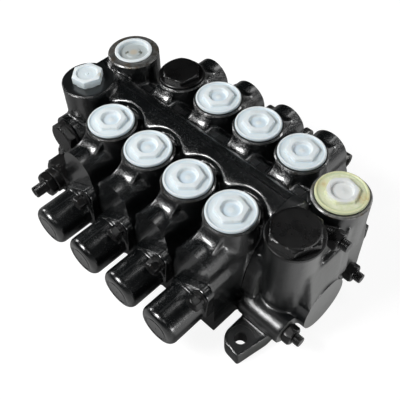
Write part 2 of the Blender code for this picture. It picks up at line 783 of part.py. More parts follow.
def spool(index):
    x = section_centre(index)
    centre = (x, 0.0, SPOOL_HEIGHT)
    half = SPOOL_GROOVE_LENGTH / 2
    profile = [(0.0, -HOUSING_HALF_DEPTH), (SPOOL_RADIUS, -HOUSING_HALF_DEPTH)]
    first = -(SPOOL_GROOVE_COUNT - 1) * SPOOL_GROOVE_PITCH / 2
    for groove in range(SPOOL_GROOVE_COUNT):
        middle = first + groove * SPOOL_GROOVE_PITCH
        profile += [
            (SPOOL_RADIUS, middle - half),
            (SPOOL_GROOVE_RADIUS, middle - half),
            (SPOOL_GROOVE_RADIUS, middle + half),
            (SPOOL_RADIUS, middle + half),
        ]
    root = tongue_tip() - TONGUE_LENGTH
    profile += [(SPOOL_RADIUS, root), (0.0, root)]
    body = turned(profile, "Y", centre, BORE_SEGMENTS)
    outline = [(root - OVERLAP, SPOOL_HEIGHT - SPOOL_RADIUS)]
    outline += arc(SPOOL_RADIUS, (tongue_tip() - SPOOL_RADIUS, SPOOL_HEIGHT), -90.0, 90.0, TONGUE_STEPS)
    outline.append((root - OVERLAP, SPOOL_HEIGHT + SPOOL_RADIUS))
    tongue = prism(outline, "X", x - TONGUE_THICKNESS / 2, x + TONGUE_THICKNESS / 2)
    eye = cylinder(TONGUE_EYE_RADIUS, "X", x - TONGUE_THICKNESS, x + TONGUE_THICKNESS,
                   (0.0, tongue_tip() - TONGUE_EYE_SETBACK, SPOOL_HEIGHT), BORE_SEGMENTS)
    thread = cylinder(SHANK_RADIUS + SEAT_GAP, "Y", -HOUSING_HALF_DEPTH - OVERLAP,
                      -HOUSING_HALF_DEPTH + SHANK_THREAD_LENGTH + SEAT_GAP, centre, SMALL_SEGMENTS)
    return combine(body, [tongue], [eye, thread])


def spool_screw(index):
    centre = (section_centre(index), 0.0, SPOOL_HEIGHT)
    head = -shank_head_start()
    end = head - SHANK_HEAD_LENGTH
    socket = SHANK_SOCKET_RADIUS
    profile = (
        (0.0, -HOUSING_HALF_DEPTH + SHANK_THREAD_LENGTH),
        (SHANK_RADIUS, -HOUSING_HALF_DEPTH + SHANK_THREAD_LENGTH),
        (SHANK_RADIUS, head),
        (SHANK_HEAD_RADIUS, head),
        (SHANK_HEAD_RADIUS, end),
        (socket, end),
        (socket, end + SHANK_SOCKET_DEPTH),
        (0.0, end + SHANK_SOCKET_DEPTH),
    )
    return turned(profile, "Y", centre, SMALL_SEGMENTS)


def coil(centre, start, end):
    """A wire wound round the Y axis, with closed ends."""
    bm = bmesh.new()
    steps = SPRING_TURNS * COIL_STEPS
    rings = []
    for step in range(steps + 1):
        angle = 2 * math.pi * step / COIL_STEPS
        along = start + (end - start) * step / steps
        out = Vector((math.cos(angle), 0.0, math.sin(angle)))
        middle = Vector(centre) + out * SPRING_RADIUS + Vector((0.0, along, 0.0))
        ring = []
        for side in range(WIRE_SEGMENTS):
            around = 2 * math.pi * side / WIRE_SEGMENTS
            offset = out * math.cos(around) + Vector((0.0, 1.0, 0.0)) * math.sin(around)
            ring.append(bm.verts.new(middle + offset * SPRING_WIRE_RADIUS))
        rings.append(ring)
    for first, second in zip(rings, rings[1:]):
        for side in range(WIRE_SEGMENTS):
            after = (side + 1) % WIRE_SEGMENTS
            bm.faces.new((first[side], first[after], second[after], second[side]))
    bm.faces.new(rings[0])
    bm.faces.new(rings[-1])
    return solid_from(bm)


def centring_spring(index):
    """The coil with the two seats that its preload keeps pressed to its ends."""
    centre = (section_centre(index), 0.0, SPOOL_HEIGHT)
    near = -HOUSING_HALF_DEPTH - SEAT_GAP
    far = near - SPRING_LENGTH - 2 * SPRING_SEAT_THICKNESS
    hole = SHANK_RADIUS + RUNNING_CLEARANCE
    seats = []
    for low, high in ((near - SPRING_SEAT_THICKNESS, near), (far, far + SPRING_SEAT_THICKNESS)):
        profile = ((hole, low), (SPRING_SEAT_RADIUS, low), (SPRING_SEAT_RADIUS, high), (hole, high))
        seats.append(turned(profile + (profile[0],), "Y", centre, BORE_SEGMENTS))
    wire = coil(centre, far + SPRING_SEAT_THICKNESS, near - SPRING_SEAT_THICKNESS)
    return combine(wire, seats)


def cap_end():
    """How far the caps reach out: the shoulder screw's head and its full stroke fit inside."""
    inside = shank_head_start() + SHANK_HEAD_LENGTH + SPOOL_TRAVEL + CAP_HEADROOM
    return inside + CAP_WALL


def spring_cap(index):
    x = section_centre(index)
    centre = (x, 0.0, SPOOL_HEIGHT)
    face = -HOUSING_HALF_DEPTH - SEAT_GAP
    flange_end = face - CAP_FLANGE_THICKNESS
    discs = [(SPOOL_HEIGHT, x, CAP_FLANGE_RADIUS)]
    cut = []
    for screw_x, screw_z in screw_places(x):
        discs.append((screw_z, screw_x, CAP_EAR_RADIUS))
        cut.append(cylinder(SCREW_RADIUS + RUNNING_CLEARANCE, "Y", flange_end - OVERLAP, face + OVERLAP,
                            (screw_x, 0.0, screw_z), SMALL_SEGMENTS))
    flange = prism(tangent_outline(discs, MEDIUM_SEGMENTS), "Y", flange_end, face)
    corner_centre = (CAP_RADIUS - CAP_CORNER, -cap_end() + CAP_CORNER)
    corner = arc(CAP_CORNER, corner_centre, 0.0, -90.0, CORNER_STEPS)
    profile = [(0.0, face), (CAP_RADIUS, face), *corner, (0.0, -cap_end())]
    body = turned(profile, "Y", centre, MEDIUM_SEGMENTS)
    step = -shank_head_start()
    bore = SPRING_SEAT_RADIUS + RUNNING_CLEARANCE
    head_bore = SHANK_HEAD_RADIUS + CAP_WALL
    hollow_profile = (
        (0.0, face + OVERLAP),
        (bore, face + OVERLAP),
        (bore, step),
        (head_bore, step),
        (head_bore, -cap_end() + CAP_WALL),
        (0.0, -cap_end() + CAP_WALL),
    )
    hollow = turned(hollow_profile, "Y", centre, BORE_SEGMENTS)
    return combine(body, [flange], [hollow] + cut)


def cap_screw(place):
    """A hexagon head screw with its two washers, pointing into the housing."""
    x, z = place
    inner = -HOUSING_HALF_DEPTH + SCREW_DEPTH
    seat = -HOUSING_HALF_DEPTH - 2 * SEAT_GAP - CAP_FLANGE_THICKNESS
    flat_end = seat - FLAT_WASHER_THICKNESS
    washer_end = flat_end - SPRING_WASHER_THICKNESS
    profile = (
        (0.0, inner),
        (SCREW_RADIUS, inner),
        (SCREW_RADIUS, seat),
        (FLAT_WASHER_RADIUS, seat),
        (FLAT_WASHER_RADIUS, flat_end),
        (SPRING_WASHER_RADIUS, flat_end),
        (SPRING_WASHER_RADIUS, washer_end),
        (0.0, washer_end),
    )
    body = turned(profile, "Y", (x, 0.0, z), SMALL_SEGMENTS)
    head = prism(hexagon(SCREW_ACROSS_FLATS), "Y", washer_end - SCREW_HEAD_HEIGHT, washer_end + OVERLAP,
                 (x, 0.0, z))
    return combine(body, [head])


def wiper_retainer(index):
    """The ring that keeps the wiper seal round the spool, pressed into the housing by its spigot."""
    face = HOUSING_HALF_DEPTH
    bore = SPOOL_RADIUS + RUNNING_CLEARANCE
    outer = face + SEAT_GAP + RETAINER_THICKNESS
    profile = (
        (bore, face - RETAINER_SPIGOT_LENGTH),
        (RETAINER_SPIGOT_RADIUS, face - RETAINER_SPIGOT_LENGTH),
        (RETAINER_SPIGOT_RADIUS, face + SEAT_GAP),
        (RETAINER_RADIUS, face + SEAT_GAP),
        (RETAINER_RADIUS, outer),
        (bore, outer),
        (bore, face - RETAINER_SPIGOT_LENGTH),
    )
    return turned(profile, "Y", (section_centre(index), 0.0, SPOOL_HEIGHT), BORE_SEGMENTS)


def rod_end(place):
    """Where a tie rod's outer tip lies along X."""
    seat = end_plane() - place[2]
    return seat + SEAT_GAP + NUT_THICKNESS + ROD_REACH_AT_END


def tie_rod(place):
    y, z, _, low = place
    high = rod_end(place)
    profile = (
        (0.0, low),
        (ROD_RADIUS - ROD_CHAMFER, low),
        (ROD_RADIUS, low + ROD_CHAMFER),
        (ROD_RADIUS, high - ROD_CHAMFER),
        (ROD_RADIUS - ROD_CHAMFER, high),
        (0.0, high),
    )
    return turned(profile, "X", (0.0, y, z), SMALL_SEGMENTS)


def nut(centre, axis, start, across_flats, thickness, bore):
    """A plain nut that begins at `start` along its axis and leaves clearance round the thread."""
    body = prism(hexagon(across_flats, NUT_TURN), axis, start, start + thickness, centre)
    hole = cylinder(bore + RUNNING_CLEARANCE, axis, start - OVERLAP, start + thickness + OVERLAP, centre,
                    SMALL_SEGMENTS)
    return combine(body, (), [hole])


def relief_body():
    """The relief cartridge: a hexagon over its spigot and a round neck, bored for the adjuster."""
    centre = (-INLET_PORT_X, 0.0, RELIEF_HEIGHT)
    seat = -RELIEF_BOSS_FACE - SEAT_GAP
    hex_end = seat - RELIEF_HEX_LENGTH
    inner = -RELIEF_BOSS_FACE + RELIEF_SPIGOT_LENGTH
    profile = (
        (0.0, inner),
        (RELIEF_SPIGOT_RADIUS, inner),
        (RELIEF_SPIGOT_RADIUS, hex_end + OVERLAP),
        (RELIEF_NECK_RADIUS, hex_end + OVERLAP),
        (RELIEF_NECK_RADIUS, relief_neck_end()),
        (0.0, relief_neck_end()),
    )
    body = turned(profile, "Y", centre, MEDIUM_SEGMENTS)
    head = prism(hexagon(RELIEF_ACROSS_FLATS, RELIEF_TURN), "Y", hex_end, seat, centre)
    bore = cylinder(ADJUSTER_RADIUS + RUNNING_CLEARANCE, "Y", relief_neck_end() - OVERLAP, seat, centre,
                    SMALL_SEGMENTS)
    return combine(body, [head], [bore])


def relief_neck_end():
    return -RELIEF_BOSS_FACE - SEAT_GAP - RELIEF_HEX_LENGTH - RELIEF_NECK_LENGTH


def relief_adjuster():
    centre = (-INLET_PORT_X, 0.0, RELIEF_HEIGHT)
    inner = -RELIEF_BOSS_FACE - 2 * SEAT_GAP
    profile = (
        (0.0, inner),
        (ADJUSTER_RADIUS, inner),
        (ADJUSTER_RADIUS, -ADJUSTER_TIP + ADJUSTER_CHAMFER),
        (ADJUSTER_RADIUS - ADJUSTER_CHAMFER, -ADJUSTER_TIP),
        (0.0, -ADJUSTER_TIP),
    )
    return turned(profile, "Y", centre, SMALL_SEGMENTS)


def add_sections(materials, datum):
    enamel = materials["enamel"]
    finish(inlet_section(), "inlet_section", enamel, (-INLET_PORT_X, 0.0, 0.0), datum)
    for index in range(SECTION_COUNT):
        origin = (section_centre(index), 0.0, 0.0)
        finish(work_section(index), f"work_section_{index + 1}", enamel, origin, datum)
    finish(end_section(), "end_section", enamel, (stack_end(), 0.0, 0.0), datum)


def add_port_plugs(materials, datum):
    face = port_face()
    recess = hexagon(PLUG_RECESS_ACROSS_FLATS, PLUG_HEX_TURN)
    for index in range(SECTION_COUNT):
        x = section_centre(index)
        for row, y in (("a", -PORT_ROW), ("b", PORT_ROW)):
            origin = (x, y, face)
            if row == "b" and index == 0:
                steel = steel_plug((x, y, 0.0), "Z", 1, face, STEEL_PLUG_ACROSS_FLATS,
                                   STEEL_PLUG_HEX_HEIGHT, STEEL_PLUG_COLLAR_RADIUS,
                                   STEEL_PLUG_COLLAR_THICKNESS, STEEL_PLUG_TURN)
                finish(steel, "port_plug_b1_steel", materials["black_steel"], origin, datum)
                continue
            plug = plastic_plug(x, y, face, recess)
            finish(plug, f"port_plug_{row}{index + 1}", materials["plastic"], origin, datum)
    x = stack_end() + END_PORT_X
    steel = steel_plug((x, END_STEEL_PORT_Y, 0.0), "Z", 1, face, END_PLUG_ACROSS_FLATS,
                       END_PLUG_HEX_HEIGHT, END_PLUG_COLLAR_RADIUS, END_PLUG_COLLAR_THICKNESS,
                       END_PLUG_TURN)
    finish(steel, "end_plug_steel", materials["black_steel"], (x, END_STEEL_PORT_Y, face), datum)
    recess = circle(OUTLET_RECESS_RADIUS, BORE_SEGMENTS)
    plug = plastic_plug(x, END_WHITE_PORT_Y, face, recess, OUTLET_PLUG_FLANGE_RADIUS)
    finish(plug, "outlet_port_plug", materials["yellowed_plastic"], (x, END_WHITE_PORT_Y, face), datum)


def add_inlet_fittings(materials, datum):
    x = -INLET_PORT_X
    face = inlet_face()
    black = materials["black_steel"]
    plug = tank_plug(x, TANK_PORT_Y, face)
    finish(plug, "tank_port_plug", materials["plastic"], (x, TANK_PORT_Y, face), datum)
    plug = pressure_plug(x, PRESSURE_PORT_Y, face)
    finish(plug, "pressure_port_plug", materials["plastic"], (x, PRESSURE_PORT_Y, face), datum)
    side = steel_plug((x, 0.0, SIDE_PLUG_HEIGHT), "Y", -1, SIDE_BOSS_FACE, SIDE_PLUG_ACROSS_FLATS,
                      SIDE_PLUG_HEX_LENGTH, SIDE_PLUG_COLLAR_RADIUS, SIDE_PLUG_COLLAR_LENGTH, 0.0)
    finish(side, "inlet_side_plug", black, (x, -SIDE_BOSS_FACE, SIDE_PLUG_HEIGHT), datum)
    origin = (x, -RELIEF_BOSS_FACE, RELIEF_HEIGHT)
    finish(relief_body(), "relief_valve_body", black, origin, datum)
    start = relief_neck_end() - SEAT_GAP - LOCK_NUT_THICKNESS
    lock_nut = nut((x, 0.0, RELIEF_HEIGHT), "Y", start, LOCK_NUT_ACROSS_FLATS, LOCK_NUT_THICKNESS,
                   ADJUSTER_RADIUS)
    finish(lock_nut, "relief_lock_nut", black, origin, datum)
    finish(relief_adjuster(), "relief_adjuster", black, origin, datum)


def add_spools(materials, datum):
    black = materials["black_steel"]
    for index in range(SECTION_COUNT):
        number = index + 1
        x = section_centre(index)
        on_axis = (x, 0.0, SPOOL_HEIGHT)
        cap_origin = (x, -HOUSING_HALF_DEPTH, SPOOL_HEIGHT)
        finish(spool(index), f"spool_{number}", materials["steel"], on_axis, datum)
        finish(spool_screw(index), f"spool_screw_{number}", materials["steel"], on_axis, datum)
        spring = centring_spring(index)
        finish(spring, f"centring_spring_{number}", materials["steel"], cap_origin, datum)
        finish(spring_cap(index), f"spring_cap_{number}", materials["enamel"], cap_origin, datum)
        for side, place in zip(("upper", "lower"), screw_places(x)):
            origin = (place[0], -HOUSING_HALF_DEPTH, place[1])
            finish(cap_screw(place), f"cap_screw_{number}_{side}", black, origin, datum)
        origin = (x, HOUSING_HALF_DEPTH, SPOOL_HEIGHT)
        finish(wiper_retainer(index), f"wiper_retainer_{number}", black, origin, datum)


def add_tie_rods(materials, datum):
    steel = materials["black_steel"]
    for name, place in rod_places().items():
        y, z, recess, tip = place
        centre = (0.0, y, z)
        finish(tie_rod(place), f"tie_rod_{name}", steel, centre, datum)
        seats = [("end", end_plane() - recess + SEAT_GAP)]
        if tip < -INLET_LENGTH:
            seats.append(("inlet", -INLET_LENGTH - SEAT_GAP - NUT_THICKNESS))
        for where, start in seats:
            piece = nut(centre, "X", start, NUT_ACROSS_FLATS, NUT_THICKNESS, ROD_RADIUS)
            finish(piece, f"{where}_nut_{name}", steel, (start, y, z), datum)


def make_datum():
    """An empty that puts the middle of the valve's footprint at the origin."""
    datum = bpy.data.objects.new("valve_datum", None)
    bpy.context.scene.collection.objects.link(datum)
    places = rod_places().values()
    low_x = min(place[3] for place in places)
    high_x = max(end_plane() + END_DISC_PROUD, *(rod_end(place) for place in places))
    datum.location = (-0.5 * (low_x + high_x), -0.5 * (tongue_tip() - cap_end()), 0.0)
    return datum


def main():
    clear_scene()
    materials = {
        "enamel": make_material("black_enamel", (0.012, 0.013, 0.014), 0.28),
        "black_steel": make_material("blackened_steel", (0.018, 0.018, 0.020), 0.35, 0.6),
        "steel": make_material("ground_steel", (0.55, 0.55, 0.54), 0.3, 1.0),
        "plastic": make_material("white_plastic", (0.78, 0.83, 0.85), 0.4),
        "yellowed_plastic": make_material("yellowed_plastic", (0.80, 0.80, 0.60), 0.45),
    }
    datum = make_datum()
    add_sections(materials, datum)
    add_port_plugs(materials, datum)
    add_inlet_fittings(materials, datum)
    add_spools(materials, datum)
    add_tie_rods(materials, datum)
    bpy.context.view_layer.update()


main()
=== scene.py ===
"""Looks of the sectional forklift control valve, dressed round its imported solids.

Lengths are in metres. Pieces are built in the design frame, where X = 0 is the inlet's joint face,
Y = 0 lies between the two rows of work ports and Z = 0 is under the feet, and then moved by SHIFT.
"""

import math

import bmesh
import bpy
import numpy as np
from mathutils import Matrix, Vector, noise


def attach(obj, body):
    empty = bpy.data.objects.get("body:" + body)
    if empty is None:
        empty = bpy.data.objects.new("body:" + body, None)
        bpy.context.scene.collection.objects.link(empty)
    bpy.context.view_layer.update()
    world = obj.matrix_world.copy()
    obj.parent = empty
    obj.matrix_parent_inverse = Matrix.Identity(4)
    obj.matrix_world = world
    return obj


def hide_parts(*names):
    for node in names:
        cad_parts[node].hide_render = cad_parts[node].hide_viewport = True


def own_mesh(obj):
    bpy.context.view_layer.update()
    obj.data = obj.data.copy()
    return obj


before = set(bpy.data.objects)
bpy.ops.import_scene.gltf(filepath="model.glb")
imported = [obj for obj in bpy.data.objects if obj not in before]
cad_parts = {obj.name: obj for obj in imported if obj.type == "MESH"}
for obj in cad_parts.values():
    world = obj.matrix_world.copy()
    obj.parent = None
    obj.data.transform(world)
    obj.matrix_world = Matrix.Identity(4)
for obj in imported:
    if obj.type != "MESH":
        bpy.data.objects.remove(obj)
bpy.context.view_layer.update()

SHIFT = Vector((-0.07955, 0.001, 0.0))
PITCH = 0.040  # from one work section to the next
SECTIONS = 4
JOINT = 0.00015  # half the gap between two castings
SEAT = 0.0003  # gap between a fitted piece and the casting under it
STACK_END = PITCH * SECTIONS
HOUSING = 0.0725  # half the depth of the spool housings
DECK = 0.086
SPOOL_Z = 0.0365
WORK_FACE = 0.0959
WORK_BOSS = 0.0191
PORT_ROW = 0.0358
INLET_START = -0.044
INLET_X = -0.022
INLET_FACE = 0.1035
INLET_BOSS = 0.0204
PRESSURE_Y = -0.0223
TANK_Y = 0.0238
SIDE_FACE, SIDE_Z = 0.049, 0.063
RELIEF_FACE, RELIEF_Z = 0.056, 0.029
END_X = STACK_END + 0.022
END_PLANE = STACK_END + 0.0402
END_PLUG_Y = -0.0225
OUTLET_Y = 0.0254
FOOT_X = STACK_END + 0.0183
FOOT_ROW = 0.0656
FOOT_TOP = 0.0135
VOXEL = 0.0011

AXES = {
    "X": Matrix(((0, 0, 1, 0), (1, 0, 0, 0), (0, 1, 0, 0), (0, 0, 0, 1))),
    "Y": Matrix(((0, 1, 0, 0), (0, 0, 1, 0), (1, 0, 0, 0), (0, 0, 0, 1))),
    "Z": Matrix.Identity(4),
}


# Mesh tools

def link(data, name="helper"):
    item = bpy.data.objects.new(name, data)
    bpy.context.scene.collection.objects.link(item)
    return item


def mesh_from(bm):
    bmesh.ops.recalc_face_normals(bm, faces=bm.faces)
    mesh = bpy.data.meshes.new("helper")
    bm.to_mesh(mesh)
    bm.free()
    return mesh


def bridge(bm, first, second):
    """Join two rings of vertices with faces. One of them may be a single point."""
    count = max(len(first), len(second))
    for step in range(count):
        after = (step + 1) % count
        if len(first) == 1:
            bm.faces.new((first[0], second[step], second[after]))
        elif len(second) == 1:
            bm.faces.new((first[step], first[after], second[0]))
        else:
            bm.faces.new((first[step], first[after], second[after], second[step]))


def prism(outline, axis, start, end, centre=(0.0, 0.0, 0.0)):
    """Extrude an outline along an axis. X takes (y, z), Y takes (z, x) and Z takes (x, y)."""
    bm = bmesh.new()
    place = Matrix.Translation(centre) @ AXES[axis]
    low = [bm.verts.new(place @ Vector((u, v, start))) for u, v in outline]
    high = [bm.verts.new(place @ Vector((u, v, end))) for u, v in outline]
    bm.faces.new(low)
    bm.faces.new(high)
    bridge(bm, low, high)
    return mesh_from(bm)


def circle(radius, segments=64, centre=(0.0, 0.0)):
    points = []
    for step in range(segments):
        angle = 2 * math.pi * (step + 0.5) / segments
        points.append((centre[0] + radius * math.cos(angle), centre[1] + radius * math.sin(angle)))
    return points


def arc(radius, centre, first, last, steps):
    points = []
    for step in range(steps + 1):
        angle = math.radians(first + (last - first) * step / steps)
        points.append((centre[0] + radius * math.cos(angle), centre[1] + radius * math.sin(angle)))
    return points


def rod(radius, axis, start, end, centre=(0.0, 0.0, 0.0), segments=64):
    return prism(circle(radius, segments), axis, start, end, centre)


def block(low, high):
    outline = ((low[0], low[1]), (high[0], low[1]), (high[0], high[1]), (low[0], high[1]))
    return prism(outline, "Z", low[2], high[2])


def hull(points):
    bm = bmesh.new()
    for point in points:
        bm.verts.new(point)
    result = bmesh.ops.convex_hull(bm, input=bm.verts)
    spare = set(result["geom_interior"]) | set(result["geom_unused"])
    spare = [item for item in spare if isinstance(item, bmesh.types.BMVert)]
    bmesh.ops.delete(bm, geom=spare, context="VERTS")
    return mesh_from(bm)


def belt(discs, segments=64):
    """Outline of a tight belt round several discs, each given as (u, v, radius)."""
    points = []
    for u, v, radius in discs:
        points += circle(radius, segments, (u, v))
    points.sort()
    lower, upper = [], []
    for chain, ordered in ((lower, points), (upper, points[::-1])):
        for point in ordered:
            while len(chain) > 1 and turn(chain[-2], chain[-1], point) <= 0:
                chain.pop()
            chain.append(point)
    return lower[:-1] + upper[:-1]


def turn(a, b, c):
    return (b[0] - a[0]) * (c[1] - a[1]) - (b[1] - a[1]) * (c[0] - a[0])


def evaluated(item, *helpers):
    """Apply an object's modifiers, remove it with its helpers and give back the new mesh."""
    depsgraph = bpy.context.evaluated_depsgraph_get()
    mesh = bpy.data.meshes.new_from_object(item.evaluated_get(depsgraph))
    for spent in (item, *helpers):
        bpy.data.objects.remove(spent, do_unlink=True)
    return mesh


def cut(mesh, operation, others, solver="MANIFOLD"):
    """Apply one boolean after the other to a mesh."""
    item = link(mesh)
    helpers = [link(other) for other in others]
    for helper in helpers:
        modifier = item.modifiers.new("boolean", "BOOLEAN")
        modifier.operation = operation
        modifier.solver = solver
        modifier.object = helper
    return evaluated(item, *helpers)


def merged(meshes):
    bm = bmesh.new()
    for mesh in meshes:
        bm.from_mesh(mesh)
    mesh = bpy.data.meshes.new("helper")
    bm.to_mesh(mesh)
    bm.free()
    return mesh


def cast(meshes, voxel, passes, waves):
    """Melt overlapping solids into one cast body with fillets and a slightly uneven skin."""
    item = link(merged(meshes))
    remesh = item.modifiers.new("remesh", "REMESH")
    remesh.mode = "VOXEL"
    remesh.voxel_size = voxel
    smooth = item.modifiers.new("smooth", "SMOOTH")
    smooth.factor = 0.5
    smooth.iterations = passes
    mesh = evaluated(item)
    count = len(mesh.vertices)
    places = np.empty(count * 3)
    normals = np.empty(count * 3)
    mesh.vertices.foreach_get("co", places)
    mesh.vertex_normals.foreach_get("vector", normals)
    places = places.reshape(-1, 3)
    shifts = np.zeros((count, 1))
    for size, height in waves:
        scaled = (places / size).tolist()
        shifts[:, 0] += np.array([noise.noise(place) for place in scaled]) * height
    places += normals.reshape(-1, 3) * shifts
    mesh.vertices.foreach_set("co", places.ravel())
    mesh.update()
    return mesh


# Ring-built bodies: every ring has the same number of points, so shapes can change along the axis

def hex_ring(across, turned, count, sharp, most=None):
    """A hexagon with corners rounded by `sharp`, kept inside the radius `most`."""
    ring = []
    for step in range(count):
        angle = 2 * math.pi * (step + 0.5) / count
        total = 0.0
        for side in range(6):
            share = math.cos(angle - math.radians(turned + 30.0 + 60.0 * side))
            if share > 0.0:
                total += share ** sharp
        radius = across / 2 * total ** (-1.0 / sharp)
        ring.append(radius if most is None else min(radius, most))
    return ring


def shell(rings, axis, centre=(0.0, 0.0, 0.0), closed=False):
    """Join rings of (radii, distance along the axis). A single radius of 0 closes the end."""
    bm = bmesh.new()
    place = Matrix.Translation(centre) @ AXES[axis]
    made = []
    for radii, along in rings:
        if len(radii) == 1:
            made.append([bm.verts.new(place @ Vector((0.0, 0.0, along)))])
            continue
        ring = []
        for step, radius in enumerate(radii):
            angle = 2 * math.pi * (step + 0.5) / len(radii)
            point = Vector((radius * math.cos(angle), radius * math.sin(angle), along))
            ring.append(bm.verts.new(place @ point))
        made.append(ring)
    pairs = list(zip(made, made[1:]))
    if closed:
        pairs.append((made[-1], made[0]))
    for first, second in pairs:
        bridge(bm, first, second)
    return mesh_from(bm)


def rounds(pairs, start=0.0, side=1, count=144):
    """Round rings from pairs of (radius, distance from the start). A radius of 0 closes the end."""
    return [([radius] * count if radius else [0.0], start + side * along) for radius, along in pairs]


def hexes(rows, turned, sharp, start=0.0, side=1, count=144):
    """Hexagonal rings from rows of (size across flats, distance from the start, widest radius)."""
    rings = []
    for across, along, *most in rows:
        rings.append((hex_ring(across, turned, count, sharp, *most), start + side * along))
    return rings


def lathe(profile, axis, centre=(0.0, 0.0, 0.0), count=72, closed=False):
    return shell(rounds(profile, count=count), axis, centre, closed)


def rounded(profile, radius, steps=3):
    """Round the inner corners of an open profile of (radius, distance) points."""
    points = [profile[0]]
    for before, here, after in zip(profile, profile[1:], profile[2:]):
        corner = Vector(here)
        to_before = Vector(before) - corner
        to_after = Vector(after) - corner
        reach = min(radius, 0.45 * to_before.length, 0.45 * to_after.length)
        if reach < 1e-6:
            points.append(here)
            continue
        start = corner + to_before.normalized() * reach
        end = corner + to_after.normalized() * reach
        for step in range(steps + 1):
            share = step / steps
            near = start.lerp(corner, share)
            far = corner.lerp(end, share)
            points.append(tuple(near.lerp(far, share)))
    points.append(profile[-1])
    return points


def thread(radius, depth, pitch, axis, start, end, centre, count=40):
    """A threaded stud end with a chamfered tip: a closed body between two planes."""
    rings = [([0.0], start)]
    direction = 1.0 if end > start else -1.0
    length = abs(end - start)
    steps = max(2, int(length / pitch * 8))
    chamfer = depth * 1.6
    for step in range(steps + 1):
        along = length * step / steps
        ring = []
        for side in range(count):
            phase = 2 * math.pi * (along / pitch) - 2 * math.pi * (side + 0.5) / count
            ring.append(radius - depth * (0.5 - 0.5 * math.cos(phase)))
        limit = radius - depth * 1.3 + max(0.0, length - along) * (depth * 1.3 / chamfer)
        ring = [min(value, limit) for value in ring]
        rings.append((ring, start + direction * along))
    rings.append(([0.0], end))
    return shell(rings, axis, centre)


# Finishing a piece

def piece(mesh, name, nodes, material, body="valve_body", sharp=35.0):
    """Move a mesh into the shared frame as a named piece on a body, in place of its CAD nodes."""
    mesh.transform(Matrix.Translation(SHIFT))
    mesh.materials.clear()
    mesh.materials.append(material)
    mesh.shade_smooth()
    mesh.set_sharp_from_angle(angle=math.radians(sharp))
    mesh.name = name
    item = link(mesh, name)
    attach(item, body)
    if nodes:
        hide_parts(*nodes)
    return item


# Materials

class Nodes:
    """A short way to write node trees: most calls add a node and give back its output."""

    def __init__(self, owner, coords="Object"):
        owner.use_nodes = True
        self.owner = owner
        self.tree = owner.node_tree
        self.coords = self.make("ShaderNodeTexCoord").outputs[coords]

    def make(self, kind, inputs=(), operation=None):
        node = self.tree.nodes.new(kind)
        if operation:
            node.operation = operation
        return self.fill(node, inputs)

    def fill(self, node, inputs):
        """Link or set a node's inputs, which are given by name or place."""
        for key, value in dict(inputs).items():
            socket = node.inputs[key]
            if isinstance(value, bpy.types.NodeSocket):
                self.tree.links.new(value, socket)
            elif isinstance(value, tuple) and socket.type == "RGBA":
                socket.default_value = (*value, 1.0)
            else:
                socket.default_value = value
        return node

    def noise(self, scale, detail=4.0, roughness=0.55, vector=None):
        inputs = {"Vector": vector or self.coords, "Scale": scale, "Detail": detail, "Roughness": roughness}
        return self.make("ShaderNodeTexNoise", inputs).outputs["Fac"]

    def ramp(self, value, stops):
        node = self.make("ShaderNodeValToRGB", {"Fac": value})
        elements = node.color_ramp.elements
        while len(elements) < len(stops):
            elements.new(0.5)
        for element, (position, colour) in zip(elements, stops):
            element.position = position
            element.color = (*colour, 1.0)
        return node.outputs["Color"]

    def span(self, value, low, high, new_low, new_high, smooth=False):
        """Map the range from low to high onto the new one, and hold the value at its ends."""
        inputs = {"Value": value, "From Min": low, "From Max": high, "To Min": new_low, "To Max": new_high}
        node = self.make("ShaderNodeMapRange", inputs)
        if smooth:
            node.interpolation_type = "SMOOTHSTEP"
        return node.outputs["Result"]

    def math(self, operation, *values):
        return self.make("ShaderNodeMath", enumerate(values), operation).outputs[0]

    def chain(self, operation, *values):
        """Join any number of values by one operation of two."""
        total = values[0]
        for value in values[1:]:
            total = self.math(operation, total, value)
        return total

    def times(self, *values):
        return self.chain("MULTIPLY", *values)

    def mix(self, factor, first, second):
        node = self.make("ShaderNodeMix")
        node.data_type = "RGBA"
        return self.fill(node, {0: factor, 6: first, 7: second}).outputs[2]

    def split(self, vector=None):
        return self.make("ShaderNodeSeparateXYZ", {0: vector or self.coords}).outputs

    def away(self, point, vector=None):
        """Distance from a point."""
        inputs = {0: vector or self.coords, 1: point}
        return self.make("ShaderNodeVectorMath", inputs, "DISTANCE").outputs["Value"]

    def bump(self, height, distance, strength, under=None):
        inputs = {"Height": height, "Distance": distance, "Strength": strength}
        if under is not None:
            inputs["Normal"] = under
        return self.make("ShaderNodeBump", inputs).outputs["Normal"]

    def surface(self, **values):
        """Fill in the main shader and give back the material."""
        inputs = {key.replace("_", " "): value for key, value in values.items()}
        self.fill(self.tree.nodes["Principled BSDF"], inputs)
        return self.owner


TRUE_PLANE = (0.9990, 0.9999)  # how squarely a machined face looks along an axis
DUST = (0.018, 0.022, 0.023)
PAINTED_SIDE_LIGHT = (0.155, 0.158, 0.152)
BARE_STEEL = (0.34, 0.34, 0.33)
BROWN_STEEL = (0.20, 0.15, 0.09)
RUST = (0.060, 0.026, 0.010)
GRIME = (0.34, 0.31, 0.24)


